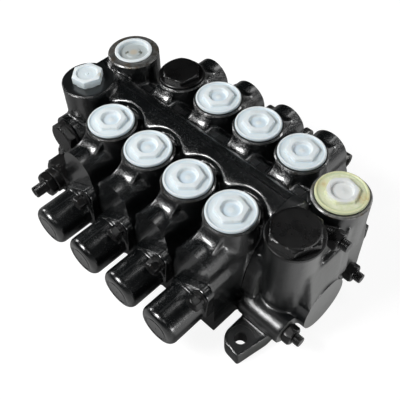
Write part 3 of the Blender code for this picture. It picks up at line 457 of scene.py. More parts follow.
def enamel(name, coarse, seed, ports=(), rim=0.0, gloss=1.0, side=0.0, soft=0.0):
    """Black enamel over a cast skin, smooth where a plane was machined and rubbed at the port rims.

    `coarse` scales the skin's bumps, `seed` varies its clouds, `rim` is how far the rings of the ports
    are rubbed bare, `gloss` is the weight of the coat, `side` is how much painted light goes on what
    faces +X and `soft` adds roughness.
    """
    n = Nodes(bpy.data.materials.new(name))
    facing = n.split(n.make("ShaderNodeNewGeometry").outputs["Normal"])
    flat = n.chain("MAXIMUM", *[n.math("ABSOLUTE", part) for part in facing])
    peel = n.times(n.noise(950.0, 4.0, 0.70), n.span(flat, *TRUE_PLANE, 1.0, 0.12))
    normal = n.bump(n.noise(150.0, 3.0, 0.5), 0.0004 * coarse, 0.5)
    normal = n.bump(peel, 0.00028 * coarse, 1.0, normal)
    normal = n.bump(n.noise(2600.0, 2.0, 0.5), 0.00008 * coarse, 0.6, normal)
    cloud = n.noise(45.0 + seed, 5.0, 0.6)
    specks = n.noise(1500.0, 2.0, 0.5)
    dust = n.times(n.span(specks, 0.57, 0.68, 0.0, 1.0), n.span(cloud, 0.38, 0.62, 0.0, 1.0),
                   n.span(facing[2], 0.3, 1.0, 0.1, 1.0))
    base = n.ramp(cloud, [(0.3, (0.0022, 0.0028, 0.0031)), (0.7, (0.0045, 0.0054, 0.0058))])
    colour = n.mix(dust, base, DUST)
    # Painted light: faces turned to +X get a lighter grey, standing in for the bright light that falls on
    # that side.
    if side:
        colour = n.mix(n.span(facing[0], 0.80, 0.97, 0.0, side), colour, PAINTED_SIDE_LIGHT)
    rough = n.span(cloud, 0.3, 0.7, 0.13 + soft, 0.21 + soft)
    rough = n.chain("ADD", rough, n.times(dust, 0.25), n.span(facing[2], *TRUE_PLANE, 0.0, 0.12))
    metal = 0.0
    if ports:
        level = n.make("ShaderNodeVectorMath", {0: n.coords, 1: (1.0, 1.0, 0.0)}, "MULTIPLY").outputs[0]
        height = n.split()[2]
        rings = []
        for x, y, inner, outer, face in ports:
            away = n.away((x + SHIFT.x, y + SHIFT.y, 0.0), level)
            rings.append(n.times(n.span(away, inner - 0.0003, inner, 0.0, 1.0),
                                 n.span(away, outer, outer + 0.0003, 1.0, 0.0),
                                 n.span(height, face - 0.0016, face - 0.0012, 0.0, 1.0)))
        patchy = n.span(n.noise(260.0, 4.0, 0.7), 0.36, 0.60, 0.25, 1.0)
        worn = n.times(n.chain("MAXIMUM", *rings), patchy, rim)
        bare = n.ramp(n.noise(120.0, 3.0, 0.6), [(0.50, BARE_STEEL), (0.64, BROWN_STEEL)])
        colour = n.mix(worn, colour, bare)
        metal = n.times(worn, 0.85)
    return n.surface(Base_Color=colour, Roughness=rough, Normal=normal, Metallic=metal, IOR=1.75,
                     Coat_Weight=0.85 * gloss, Coat_Roughness=0.08 + soft, Coat_IOR=1.6)


def black_steel(name, lighter, rust):
    """Blackened steel with turned marks, a few rubbed spots and traces of rust."""
    n = Nodes(bpy.data.materials.new(name))
    broad = n.noise(90.0, 4.0, 0.6)
    normal = n.bump(broad, 0.00035, 0.4)
    normal = n.bump(n.noise(1400.0, 3.0, 0.6), 0.00010, 0.5, normal)
    low = 0.003 + lighter
    base = n.ramp(broad, [(0.3, (low, low, low * 1.05)), (0.7, (low * 1.8, low * 1.8, low * 1.8))])
    mask = n.times(n.span(n.noise(420.0, 4.0, 0.65), 0.60, 0.70, 0.0, 1.0), rust)
    rough = n.chain("ADD", n.span(broad, 0.3, 0.7, 0.24, 0.34), n.times(mask, 0.3))
    return n.surface(Base_Color=n.mix(mask, base, RUST), Roughness=rough, Normal=normal, IOR=1.55)


def plastic(name, tint, seat, stains=(), spots=()):
    """Milky moulded plastic, darker and bluish lower down: partly the thin plastic, partly painted shade
    in the recess and at the foot of the hexagon, with full colour on the lips and the hexagon top.

    Stains are blotchy and spots are solid. Both are given as (centre, inner, outer, colour).
    """
    n = Nodes(bpy.data.materials.new(name))
    broad = n.noise(130.0, 4.0, 0.6)
    normal = n.bump(n.noise(1100.0, 3.0, 0.5), 0.00005, 0.35)
    normal = n.bump(broad, 0.00030, 0.35, normal)
    height = n.span(n.split()[2], seat, seat + 0.0040, 0.0, 1.0)
    # Painted shade by height: darker and bluish towards the recess floor and the foot of the hexagon, partly
    # from the thin plastic there.
    thin = (tint[0] * 0.80, tint[1] * 0.89, tint[2] * 0.97)
    middle = (tint[0] * 0.90, tint[1] * 0.94, tint[2] * 0.96)
    painted_height_shade = n.ramp(height, [(0.0, middle), (0.50, middle), (0.535, thin), (0.575, thin),
                             (0.63, tint), (0.92, tint)])
    colour = n.mix(n.span(broad, 0.35, 0.65, 0.0, 0.5), painted_height_shade, tuple(value * 0.90 for value in tint))
    colour = n.mix(n.span(n.noise(900.0, 2.0, 0.5), 0.71, 0.75, 0.0, 0.4), colour, GRIME)
    blotch = n.span(n.noise(330.0, 4.0, 0.7), 0.35, 0.62, 0.0, 1.0)
    for marks, solid in ((stains, False), (spots, True)):
        for centre, inner, outer, shade in marks:
            near = n.span(n.away(centre), inner, outer, 1.0, 0.0)
            colour = n.mix(near if solid else n.times(near, blotch), colour, shade)
    rough = n.span(broad, 0.3, 0.7, 0.34, 0.48)
    return n.surface(Base_Color=colour, Roughness=rough, Normal=normal, Subsurface_Weight=0.15,
                     Subsurface_Radius=(0.004, 0.005, 0.006), Subsurface_Scale=0.4, IOR=1.46)


def ground_steel(name):
    """Ground steel with fine marks round the bar and a thin oil film."""
    n = Nodes(bpy.data.materials.new(name))
    stretch = n.make("ShaderNodeMapping", {"Scale": (60.0, 3200.0, 60.0), "Vector": n.coords})
    marks = n.noise(1.0, 3.0, 0.6, stretch.outputs["Vector"])
    broad = n.noise(70.0, 4.0, 0.6)
    colour = n.ramp(broad, [(0.3, (0.44, 0.43, 0.41)), (0.7, (0.60, 0.60, 0.59))])
    rough = n.span(marks, 0.3, 0.7, 0.18, 0.34)
    return n.surface(Base_Color=colour, Roughness=rough, Normal=n.bump(marks, 0.00005, 0.5), Metallic=1.0)


CAP_ENAMEL = enamel("cap_enamel", 0.22, 6.0, gloss=0.6, soft=0.07)
STEEL_BLACK = black_steel("blackened_steel_fastener", 0.002, 0.2)
PLUG_BLACK = black_steel("blackened_steel_plug", 0.0, 0.1)
MILK = (0.81, 0.87, 0.89)
YELLOWED = (0.74, 0.76, 0.48)
WHITE = plastic("milky_white_plastic", MILK, WORK_FACE)
STEEL_BRIGHT = ground_steel("ground_spool_steel")


def steel_piece(mesh, name, node, material=STEEL_BLACK, sharp=35.0):
    """A blackened piece on the valve's body. The washers have no node of their own to replace."""
    return piece(mesh, name, [node] if node else None, material, sharp=sharp)


# Castings

def mating_outline():
    """Joint face of the castings: a deck with a ridge that falls steeply towards the front ports."""
    half = [(0.048, 0.007), (0.043, 0.0175), (0.046, 0.0365), (0.0415, 0.055), (0.0345, 0.069)]
    rear = [(0.019, DECK), (0.0094, DECK), (0.0076, 0.0880), (0.0066, 0.0925), (0.0044, 0.0957),
            (0.0012, 0.0973)]
    front = [(-0.0030, 0.0979), (-0.0080, 0.0976), (-0.0150, 0.0960), (-0.0196, 0.0940),
             (-0.0212, 0.0895), (-0.0218, 0.0835)]
    return half + rear + front + [(-y, z) for y, z in reversed(half)]


def housing_outline():
    flank = [(0.007, 0.0194), (0.052, 0.0194), (0.061, 0.0184), (0.0685, 0.0155)]
    top = arc(0.0155, (0.073, 0.0), 90.0, -90.0, 24)
    return flank + top + [(z, -x) for z, x in reversed(flank)]


def port_cutters(x, y, radius, face, bore, depth=0.015):
    """Face off a port boss with a small chamfer and bore it."""
    chamfer = 0.0009
    top = face + 0.012
    reach = radius + chamfer
    profile = [(0.0, face), (radius - chamfer, face), (reach, face - 2 * chamfer), (reach, top),
               (0.0, top)]
    return [lathe(profile, "Z", (x, y, 0.0)), rod(bore, "Z", face - depth, face + 0.005, (x, y, 0.0))]


# Each rod's y and z, and how deep its nut sits in the end face
RODS = {"upper": (0.0, 0.087, 0.0045), "front": (-0.043, 0.0225, 0.0), "rear": (0.0265, 0.0225, 0.0)}
ROD_HOLE = 0.0045
SCREW_HOLE = 0.0033


def rod_cutters(start, end, upper_from=None):
    cutters = []
    for key, (y, z, _) in RODS.items():
        low = start if key != "upper" or upper_from is None else upper_from
        cutters.append(rod(ROD_HOLE, "X", low, end, (0.0, y, z), 32))
    return cutters


def sections():
    """Number and middle of each work section."""
    return [(index + 1, (index + 0.5) * PITCH) for index in range(SECTIONS)]


def screw_places(x):
    return ((x + 0.0142, SPOOL_Z + 0.0220), (x - 0.0142, SPOOL_Z - 0.0220))


PORT_BORE = 0.0108
# Size and height of each wave in the castings' skin
CAST_WAVES = ((0.011, 0.00010), (0.0045, 0.00005), (0.0024, 0.00004))


def work_casting():
    x = PITCH / 2
    reach = x - JOINT
    deck = prism(mating_outline(), "X", x - reach - 0.004, x + reach + 0.004)
    moats = [rod(0.0234, "Z", 0.0835, 0.12, (x + shift, -PORT_ROW, 0.0), 96)
             for shift in (-PITCH, 0.0, PITCH)]
    solids = [cut(deck, "DIFFERENCE", moats),
              prism(housing_outline(), "Y", -HOUSING - 0.004, HOUSING + 0.004, (x, 0.0, 0.0))]
    flare = [(0.0, 0.070), (0.0290, 0.070), (0.0290, 0.0868), (0.0268, 0.0877), (0.0240, 0.0892),
             (0.0216, 0.0914), (0.0198, 0.0943), (0.0, 0.0943)]
    for y in (-PORT_ROW, PORT_ROW):
        solids.append(rod(WORK_BOSS, "Z", 0.070, WORK_FACE + 0.004, (x, y, 0.0), 96))
        band = block((x - 0.0090, -0.08, 0.06), (x + 0.0090, 0.08, 0.1))
        solids.append(cut(lathe(flare, "Z", (x, y, 0.0), 96), "INTERSECT", [band]))
    mesh = cast(solids, VOXEL, 9, CAST_WAVES)
    mesh = cut(mesh, "INTERSECT", [block((x - reach, -HOUSING, 0.0), (x + reach, HOUSING, 0.12))])
    cutters = []
    for y in (-PORT_ROW, PORT_ROW):
        cutters += port_cutters(x, y, WORK_BOSS, WORK_FACE, PORT_BORE)
    cutters.append(rod(0.0073, "Y", -0.08, 0.08, (x, 0.0, SPOOL_Z)))
    cutters.append(rod(0.0102, "Y", HOUSING - 0.0043, 0.08, (x, 0.0, SPOOL_Z)))
    cutters += rod_cutters(-0.001, PITCH + 0.001)
    for screw_x, screw_z in screw_places(x):
        cutters.append(rod(SCREW_HOLE, "Y", -0.08, -HOUSING + 0.0115, (screw_x, 0.0, screw_z), 32))
    return cut(mesh, "DIFFERENCE", cutters)


def foot(x, side, point_side):
    """A foot with one slanted and one rounded corner. It starts inside the casting."""
    y = side * FOOT_ROW
    outline = [
        (x + point_side * 0.0130, side * 0.0360),
        (x + point_side * 0.0130, side * 0.0520),
        (x + point_side * 0.0078, y + side * 0.0120),
    ]
    for step in range(13):
        angle = math.radians(70.0 * (1.0 - step / 12))
        outline.append((x - point_side * 0.0115 * math.cos(angle), y + side * 0.0115 * math.sin(angle)))
    outline.append((x - point_side * 0.0115, side * 0.0360))
    return prism(outline, "Z", -0.004, FOOT_TOP)


def foot_cutters(x, side):
    centre = (x, side * FOOT_ROW, 0.0)
    spot_face = rod(0.0098, "Z", FOOT_TOP - 0.0008, 0.03, centre)
    return [rod(ROD_HOLE, "Z", -0.01, 0.02, centre, 48), spot_face]


FLOOR_CUT = ((-0.2, -0.2, -0.05), (0.4, 0.2, 0.0))


def inlet_casting():
    start, end, x = INLET_START, -JOINT, INLET_X
    inner = end - 0.002
    corner = 0.016
    outline = (
        (start, -0.040 + corner), (start + corner, -0.040), (inner, -0.040),
        (inner, 0.044), (start + corner, 0.044), (start, 0.044 - corner),
    )
    solids = [
        prism(mating_outline(), "X", x, end + 0.004),
        block((start, -0.051, -0.004), (inner, 0.048, 0.036)),
        prism(outline, "Z", 0.030, 0.069),
        block((start + 0.002, PRESSURE_Y, 0.060), (-0.019, TANK_Y, 0.095)),
        rod(0.016, "Y", -SIDE_FACE - 0.003, 0.0, (x, 0.0, SIDE_Z), 96),
        rod(0.017, "Y", -RELIEF_FACE - 0.003, 0.0, (x, 0.0, RELIEF_Z), 96),
        foot(x, 1, -1),
    ]
    for y in (PRESSURE_Y, TANK_Y):
        solids.append(rod(INLET_BOSS, "Z", 0.048, INLET_FACE + 0.004, (x, y, 0.0), 96))
    cutters = [block((end, -0.1, -0.05), (0.05, 0.1, 0.15)), block(*FLOOR_CUT)]
    cutters += port_cutters(x, PRESSURE_Y, INLET_BOSS, INLET_FACE, PORT_BORE)
    cutters += port_cutters(x, TANK_Y, INLET_BOSS, INLET_FACE, 0.0138)
    for radius, y, z in ((0.0168, -SIDE_FACE, SIDE_Z), (0.0188, -RELIEF_FACE, RELIEF_Z),
                         (PORT_BORE, -0.034, SIDE_Z), (0.0100, -0.0487, RELIEF_Z)):
        cutters.append(rod(radius, "Y", -0.07, y, (x, 0.0, z)))
    cutters += rod_cutters(-0.06, 0.01, -0.0363) + foot_cutters(x, 1)
    return cut(cast(solids, VOXEL, 9, CAST_WAVES), "DIFFERENCE", cutters)


def slope(spots):
    """A mound on the end face under rounded spots, each given as (height, y, z, radius)."""
    points = []
    for height, y, z, radius in spots:
        for v, w in circle(radius, 16):
            points.append((END_PLANE + height, y + v, z + w))
            points.append((END_PLANE - 0.003, y + v, z + w))
    return hull(points)


PROUD = 0.0072  # how far the round pad stands out of the end face


def end_casting():
    start, plane, x = STACK_END + JOINT, END_PLANE, END_X
    inner = start + 0.003
    proud = plane + PROUD
    outline = ((-0.0225, 0.011), (0.041, 0.011), (0.041, 0.046), (0.037, 0.068), (0.030, DECK),
               (-0.0225, DECK))
    notch = block((plane - 0.0045, -0.03, 0.067), (plane + 0.01, 0.012, 0.1))
    solids = [
        prism(mating_outline(), "X", start - 0.004, start + 0.010),
        block((inner, -0.0365, 0.007), (x, 0.0, 0.073)),
        cut(prism(outline, "X", inner, plane), "DIFFERENCE", [notch]),
        rod(0.0186, "Z", 0.029, WORK_FACE + 0.004, (x, END_PLUG_Y, 0.0), 96),
        rod(INLET_BOSS, "Z", 0.055, WORK_FACE + 0.004, (x, OUTLET_Y, 0.0), 96),
        rod(0.0213, "X", inner, proud + 0.003, (0.0, -0.0125, 0.0295), 96),
        slope(((PROUD, -0.0278, 0.0442, 0.0030), (PROUD, -0.0020, 0.0445, 0.0020),
               (PROUD, -0.0125, 0.0380, 0.0020), (0.0006, -0.0250, 0.0720, 0.0030),
               (0.0006, 0.0060, 0.0690, 0.0030))),
        slope(((0.0055, 0.0020, 0.0490, 0.0020), (0.0048, 0.0120, 0.0420, 0.0020),
               (0.0, 0.0040, 0.0690, 0.0030), (0.0, 0.0180, 0.0620, 0.0030))),
        rod(0.011, "X", inner, plane, (0.0, -0.043, 0.0225)),
        foot(FOOT_X, -1, 1),
        foot(FOOT_X, 1, 1),
    ]
    cutters = [block((0.1, -0.1, -0.05), (start, 0.1, 0.15)), block(*FLOOR_CUT)]
    cutters.append(block((proud, -0.1, -0.05), (plane + 0.05, 0.1, 0.15)))
    cutters += port_cutters(x, END_PLUG_Y, 0.0186, WORK_FACE, PORT_BORE)
    cutters += port_cutters(x, OUTLET_Y, INLET_BOSS, WORK_FACE, PORT_BORE)
    cutters += rod_cutters(0.15, 0.25) + foot_cutters(FOOT_X, -1) + foot_cutters(FOOT_X, 1)
    return cut(cast(solids, VOXEL, 9, CAST_WAVES), "DIFFERENCE", cutters)


def cap_casting():
    x = PITCH / 2
    face = -HOUSING - SEAT
    end, radius, edge = -0.1092, 0.0158, 0.0052
    centre = (x, 0.0, SPOOL_Z)
    discs = [(SPOOL_Z, x, 0.0178)]
    for screw_x, screw_z in screw_places(x):
        discs.append((screw_z, screw_x, 0.0062))
    corner = arc(edge, (radius - edge, end + edge), 0.0, -90.0, 12)
    solids = [
        prism(belt(discs), "Y", face - 0.006, face + 0.003),
        lathe([(0.0, face), (radius, face), *corner, (0.0, end)], "Y", centre, 96),
    ]
    hollow = [(0.0, face + 0.002), (0.0115, face + 0.002), (0.0115, -0.0941), (0.009, -0.0941),
              (0.009, -0.106), (0.0, -0.106)]
    cutters = [block((-0.1, face, -0.1), (0.1, 0.1, 0.2)), lathe(hollow, "Y", centre, 64)]
    for screw_x, screw_z in screw_places(x):
        cutters.append(rod(SCREW_HOLE, "Y", -0.09, -0.07, (screw_x, 0.0, screw_z), 32))
    cutters.append(block((-0.1, -0.13, -0.1), (0.1, -0.109, 0.2)))
    groove = [(0.0085, -0.1100), (0.0085, -0.1087), (0.0089, -0.1085), (0.0094, -0.1084),
              (0.0099, -0.1085), (0.0103, -0.1090), (0.0104, -0.1100)]
    pip = [(0.0, -0.1095), (0.0008, -0.1095), (0.0006, -0.1086), (0.0, -0.1084)]
    cutters += [lathe(groove, "Y", centre, 96, closed=True), lathe(pip, "Y", centre, 24)]
    mesh = cast(solids, 0.0006, 6, ((0.008, 0.00004), (0.003, 0.00002)))
    return cut(mesh, "DIFFERENCE", cutters)


def shifted(mesh, x):
    copy = mesh.copy()
    copy.transform(Matrix.Translation((x, 0.0, 0.0)))
    return copy


def add_castings():
    def casting(mesh, name, node, skin):
        piece(mesh, name, [node], skin)

    ports = [(INLET_X, TANK_Y, 0.0150, 0.0206, INLET_FACE)]
    skin = enamel("inlet_enamel", 0.9, 2.0, ports, 0.55, 0.9, 0.0, 0.05)
    casting(inlet_casting(), "inlet_casting", "inlet_section", skin)
    section = work_casting()
    cap = cap_casting()
    for index in range(SECTIONS):
        number = index + 1
        ports = [(PITCH / 2 + index * PITCH, y, 0.0180, 0.0193, WORK_FACE) for y in (-PORT_ROW, PORT_ROW)]
        skin = enamel(f"section_enamel_{number}", 0.9, float(index), ports, 0.12, 1.0, 0.0, 0.04)
        casting(shifted(section, index * PITCH), f"work_casting_{number}", f"work_section_{number}", skin)
        casting(shifted(cap, index * PITCH), f"cap_{number}", f"spring_cap_{number}", CAP_ENAMEL)
    ports = [(END_X, OUTLET_Y, 0.0188, 0.0206, WORK_FACE)]
    skin = enamel("end_enamel", 0.5, 4.0, ports, 0.9, 0.5, 0.9, 0.16)
    casting(end_casting(), "end_casting", "end_section", skin)


# Plugs

PLUG_SHANK = ((0.0, -0.010), (0.0098, -0.010), (0.0104, -0.0092))


def shipping_plug(x, y, turned, flange, recess_hex=True):
    """A milky plug: thin flange with a raised lip, a hexagon and a recess with a small pip."""
    seat = WORK_FACE + SEAT
    low = seat + 0.0017
    peak = seat + 0.0026 + 0.0019
    floor = peak - 0.0026
    lip = ((0.0006, 0.0), (0.0001, 0.0004), (0.0, 0.0010), (0.0001, 0.0018), (0.0005, 0.0024),
           (0.0011, 0.0026), (0.0017, 0.0024), (0.0021, 0.0019), (0.0030, 0.0017))
    rings = rounds(PLUG_SHANK + ((0.0105, -0.0002), (0.0112, 0.0)), seat)
    rings += rounds([(flange - inset, along) for inset, along in lip], seat)
    rings += hexes(((0.0222, 0.0), (0.0213, 0.0003), (0.0209, 0.0010)), turned, 34.0, low)
    rings += hexes(((0.0207, -0.0007), (0.0203, -0.0002), (0.0197, 0.0)), turned, 34.0, peak)
    if recess_hex:
        rings += hexes(((0.0150, 0.0), (0.0142, -0.0003), (0.0136, -0.0010)), turned, 5.0, peak)
        rings += hexes(((0.0130, 0.0008), (0.0121, 0.0003), (0.0106, 0.0)), turned, 5.0, floor)
    else:
        rings += rounds(((0.0082, 0.0), (0.0079, -0.0002), (0.0077, -0.0007)), peak)
        rings += rounds(((0.0075, 0.0006), (0.0071, 0.0001), (0.0062, 0.0)), floor)
    rings += rounds(((0.0045, 0.0001), (0.0021, 0.0002), (0.0016, 0.0004), (0.0008, 0.0005),
                     (0.0, 0.0004)), floor)
    return shell(rings, "Z", (x, y, 0.0))


def pressure_plug():
    """A small milky hexagon with a shallow round recess."""
    seat = INLET_FACE + SEAT
    top = seat + 0.0062
    rings = rounds(PLUG_SHANK + ((0.0105, 0.0),), seat)
    rings += hexes(((0.0209, 0.0), (0.0214, 0.0004)), 10.0, 40.0, seat)
    rings += hexes(((0.0214, -0.0007), (0.0211, -0.0002), (0.0205, 0.0)), 10.0, 40.0, top)
    rings += rounds(((0.0082, 0.0), (0.0080, -0.0002), (0.0077, -0.0008), (0.0071, -0.0012),
                     (0.0040, -0.0013), (0.0014, -0.0013), (0.0011, -0.0010), (0.0, -0.0010)), top)
    return shell(rings, "Z", (INLET_X, PRESSURE_Y, 0.0))


def tank_plug():
    """A milky cup with a low pip."""
    seat = INLET_FACE + SEAT
    top = seat + 0.0012
    profile = [(0.0, INLET_FACE - 0.010), (0.0131, INLET_FACE - 0.010), (0.0134, seat - 0.0001),
               (0.0148, seat), (0.0148, top - 0.0003), (0.0143, top), (0.0124, top), (0.0119, top - 0.0004),
               (0.0114, top - 0.0030), (0.0106, top - 0.0033), (0.0060, top - 0.0032),
               (0.0054, top - 0.0024), (0.0020, top - 0.0024), (0.0, top - 0.0023)]
    return lathe(rounded(profile, 0.0003), "Z", (INLET_X, TANK_Y, 0.0), 96)


def steel_plug(centre, axis, side, face, across, height, edge, collar, turned):
    """A crowned hexagon over a round collar, whose radius is `edge` and height is `collar`."""
    seat = side * (face + SEAT)
    base = seat + side * collar
    crown = 0.5 * across
    rings = rounds(((0.0, -0.010), (0.0104, -0.010), (0.0104, 0.0), (edge - 0.0004, 0.0), (edge, 0.0004),
                    (edge, collar - 0.0005), (edge - 0.0005, collar)), seat, side)
    rings += hexes(((across, 0.0, across), (across, 0.0003, across), (across, height - 0.0016, crown * 1.17),
                    (across, height - 0.0012, crown * 1.12), (across, height - 0.0006, crown * 1.05),
                    (across - 0.0004, height - 0.0001, crown * 0.99),
                    (across - 0.0010, height, crown * 0.97)), turned, 90.0, base, side)
    rings += rounds(((crown * 0.90, height), (crown * 0.5, height - 0.0001), (0.0, height - 0.0001)),
                    base, side)
    return shell(rings, axis, centre)


PLUG_TURNS = {"a1": 44.0, "a2": 47.0, "a3": 43.0, "a4": 46.0, "b2": 48.0, "b3": 44.0, "b4": 45.0}


def add_plugs():
    for number, x in sections():
        for row, y in (("a", -PORT_ROW), ("b", PORT_ROW)):
            key = f"{row}{number}"
            if key == "b1":
                mesh = steel_plug((x, y, 0.0), "Z", 1, WORK_FACE, 0.027, 0.0038, 0.0175, 0.0020, 15.0)
                steel_piece(mesh, "plug_b1", "port_plug_b1_steel", PLUG_BLACK)
                continue
            mesh = shipping_plug(x, y, PLUG_TURNS[key], 0.0176 if key == "a4" else 0.01724)
            piece(mesh, f"plug_{key}", [f"port_plug_{key}"], WHITE)
    mesh = steel_plug((END_X, END_PLUG_Y, 0.0), "Z", 1, WORK_FACE, 0.0325, 0.0065, 0.0198, 0.0030, 6.0)
    steel_piece(mesh, "plug_end", "end_plug_steel", PLUG_BLACK)
    spot = Vector((END_X, OUTLET_Y, WORK_FACE + 0.002)) + SHIFT
    stains = [(spot, 0.0150, 0.0152, (0.78, 0.80, 0.62)),
              (spot + Vector((0.0130, 0.0050, 0.0)), 0.001, 0.0070, (0.60, 0.47, 0.20)),
              (spot + Vector((-0.0130, -0.0040, 0.0)), 0.001, 0.0070, (0.60, 0.50, 0.24))]
    spots = [(spot + Vector((0.0, 0.0, 0.002)), 0.0100, 0.0112, (0.78, 0.80, 0.79))]
    stained = plastic("milky_stained_plastic", YELLOWED, WORK_FACE, stains, spots)
    mesh = shipping_plug(END_X, OUTLET_Y, 47.0, 0.01815, False)
    piece(mesh, "plug_outlet", ["outlet_port_plug"], stained)
    middle = Vector((INLET_X, TANK_Y, INLET_FACE - 0.0016)) + SHIFT
    across = Vector((0.0034, 0.0034, 0.0)) * 1.1
    # Painted shade: a grey ring round the foot of the cup's wall, and two dark marks that stand for the shade
    # in two slots.
    spots = [(middle, 0.0105, 0.0118, (0.46, 0.50, 0.50)), (middle, 0.0020, 0.0042, (0.52, 0.47, 0.38)),
             (middle + across, 0.0011, 0.0021, (0.16, 0.17, 0.14)),
             (middle - across, 0.0011, 0.0021, (0.16, 0.17, 0.14))]
    cup = plastic("milky_cup_plastic", MILK, INLET_FACE - 0.0022, (), spots)
    piece(tank_plug(), "plug_tank", ["tank_port_plug"], cup)
    speck = Vector((INLET_X + 0.0088, PRESSURE_Y + 0.0058, INLET_FACE + 0.0062)) + SHIFT
    stains = [(speck, 0.0004, 0.0026, (0.42, 0.33, 0.14))]
    small = plastic("milky_hexagon_plastic", MILK, INLET_FACE + 0.0036, stains)
    piece(pressure_plug(), "plug_pressure", ["pressure_port_plug"], small)
    mesh = steel_plug((INLET_X, 0.0, SIDE_Z), "Y", -1, SIDE_FACE, 0.024, 0.0062, 0.0138, 0.0022, 0.0)
    steel_piece(mesh, "plug_side", "inlet_side_plug", PLUG_BLACK)


# Relief valve

NECK_BORE = 0.0053
THREAD_PITCH = 0.00125


def add_relief():
    count = 120
    centre = (INLET_X, 0.0, RELIEF_Z)
    seat = -RELIEF_FACE - SEAT
    hex_end = seat - 0.014
    neck_end = hex_end - 0.006
    rows = ((0.0132, 0.0), (0.0140, 0.0007), (0.0156, 0.0016), (0.0156, 0.0124), (0.0140, 0.0133),
            (0.0130, 0.0140))
    rings = rounds(((0.0, -0.049), (0.0097, -0.049), (0.0097, seat)), count=count)
    rings += hexes([(0.027, along, most) for most, along in rows], 15.0, 90.0, seat, -1, count)
    rings += rounds(((0.0096, 0.0), (0.0094, -0.0008), (0.0105, -0.0012)), hex_end, 1, count)
    rings += rounds(((0.0105, 0.0008), (0.0098, 0.0), (NECK_BORE, 0.0)), neck_end, 1, count)
    rings += rounds(((NECK_BORE, seat), (0.0, seat)), count=count)
    steel_piece(shell(rings, "Y", centre), "relief_body", "relief_valve_body")
    mesh = hex_nut(centre, "Y", neck_end - SEAT, -1, 0.019, 0.0065, NECK_BORE, 30.0)
    steel_piece(mesh, "relief_nut", "relief_lock_nut")
    slot_cut = block((INLET_X - 0.0007, -0.10, 0.02), (INLET_X + 0.0007, -0.0915, 0.04))
    mesh = thread(0.005, 0.0004, THREAD_PITCH, "Y", -0.0566, -0.0933, centre)
    steel_piece(cut(mesh, "DIFFERENCE", [slot_cut]), "relief_screw", "relief_adjuster")


# Nuts, rods and screws

def hex_nut(centre, axis, start, side, across, height, bore, turned):
    """A nut with both ends chamfered and a countersunk thread."""
    shares = ((0.97, 0.0), (1.06, 0.0005), (1.155, 0.0012), (1.155, height - 0.0012),
              (1.06, height - 0.0005), (0.97, height))
    rows = [(across, along, 0.5 * across * share) for share, along in shares]
    rings = hexes(rows, turned, 90.0, start, side, 96)
    rings += rounds(((bore + 0.0006, height), (bore, height - 0.0007), (bore, 0.0007),
                     (bore + 0.0006, 0.0)), start, side, 96)
    return shell(rings, axis, centre, closed=True)


NUT_HEIGHT = 0.0068


def add_rods():
    """Tie rods with threads near their ends, and their nuts. The upper rod has none at the inlet."""
    for key, (y, z, recess) in RODS.items():
        nuts = [("end", END_PLANE - recess + SEAT, 1)]
        if key != "upper":
            nuts.append(("inlet", INLET_START - SEAT, -1))
        tip = nuts[0][1] + NUT_HEIGHT + 0.0058
        low = -0.036 if key == "upper" else nuts[1][1] - NUT_HEIGHT - 0.0029
        centre = (0.0, y, z)
        ends = [thread(0.0040, 0.00038, THREAD_PITCH, "X", start, end, centre)
                for start, end in ((tip - 0.022, tip), (low + 0.022, low))]
        mesh = cut(rod(0.0037, "X", low + 0.020, tip - 0.020, centre, 40), "UNION", ends)
        steel_piece(mesh, f"rod_{key}", f"tie_rod_{key}", sharp=50.0)
        for place, start, side in nuts:
            mesh = hex_nut(centre, "X", start, side, 0.013, NUT_HEIGHT, 0.0043, 20.0)
            steel_piece(mesh, f"nut_{place}_{key}", f"{place}_nut_{key}")


def split_ring(centre, start, end, inner, outer, gap_at):
    """A spring washer: a square-section ring with a slanted gap."""
    bm = bmesh.new()
    place = Matrix.Translation(centre) @ AXES["Y"]
    steps = 48
    sections = []
    rise = (end - start) * 0.12
    for step in range(steps + 1):
        share = step / steps
        angle = math.radians(gap_at + 7.0 + 346.0 * share)
        lift = rise * (share - 0.5)
        ring = []
        for radius, along in ((inner, start + lift + rise / 2), (outer, start + lift + rise / 2),
                              (outer, end + lift - rise / 2), (inner, end + lift - rise / 2)):
            point = Vector((radius * math.cos(angle), radius * math.sin(angle), along))
            ring.append(bm.verts.new(place @ point))
        sections.append(ring)
    for first, second in zip(sections, sections[1:]):
        bridge(bm, first, second)
    bm.faces.new(sections[0])
    bm.faces.new(sections[-1][::-1])
    return mesh_from(bm)


SCREW_TURNS = (12.0, 38.0, 51.0, 24.0, 6.0, 33.0, 45.0, 17.0)


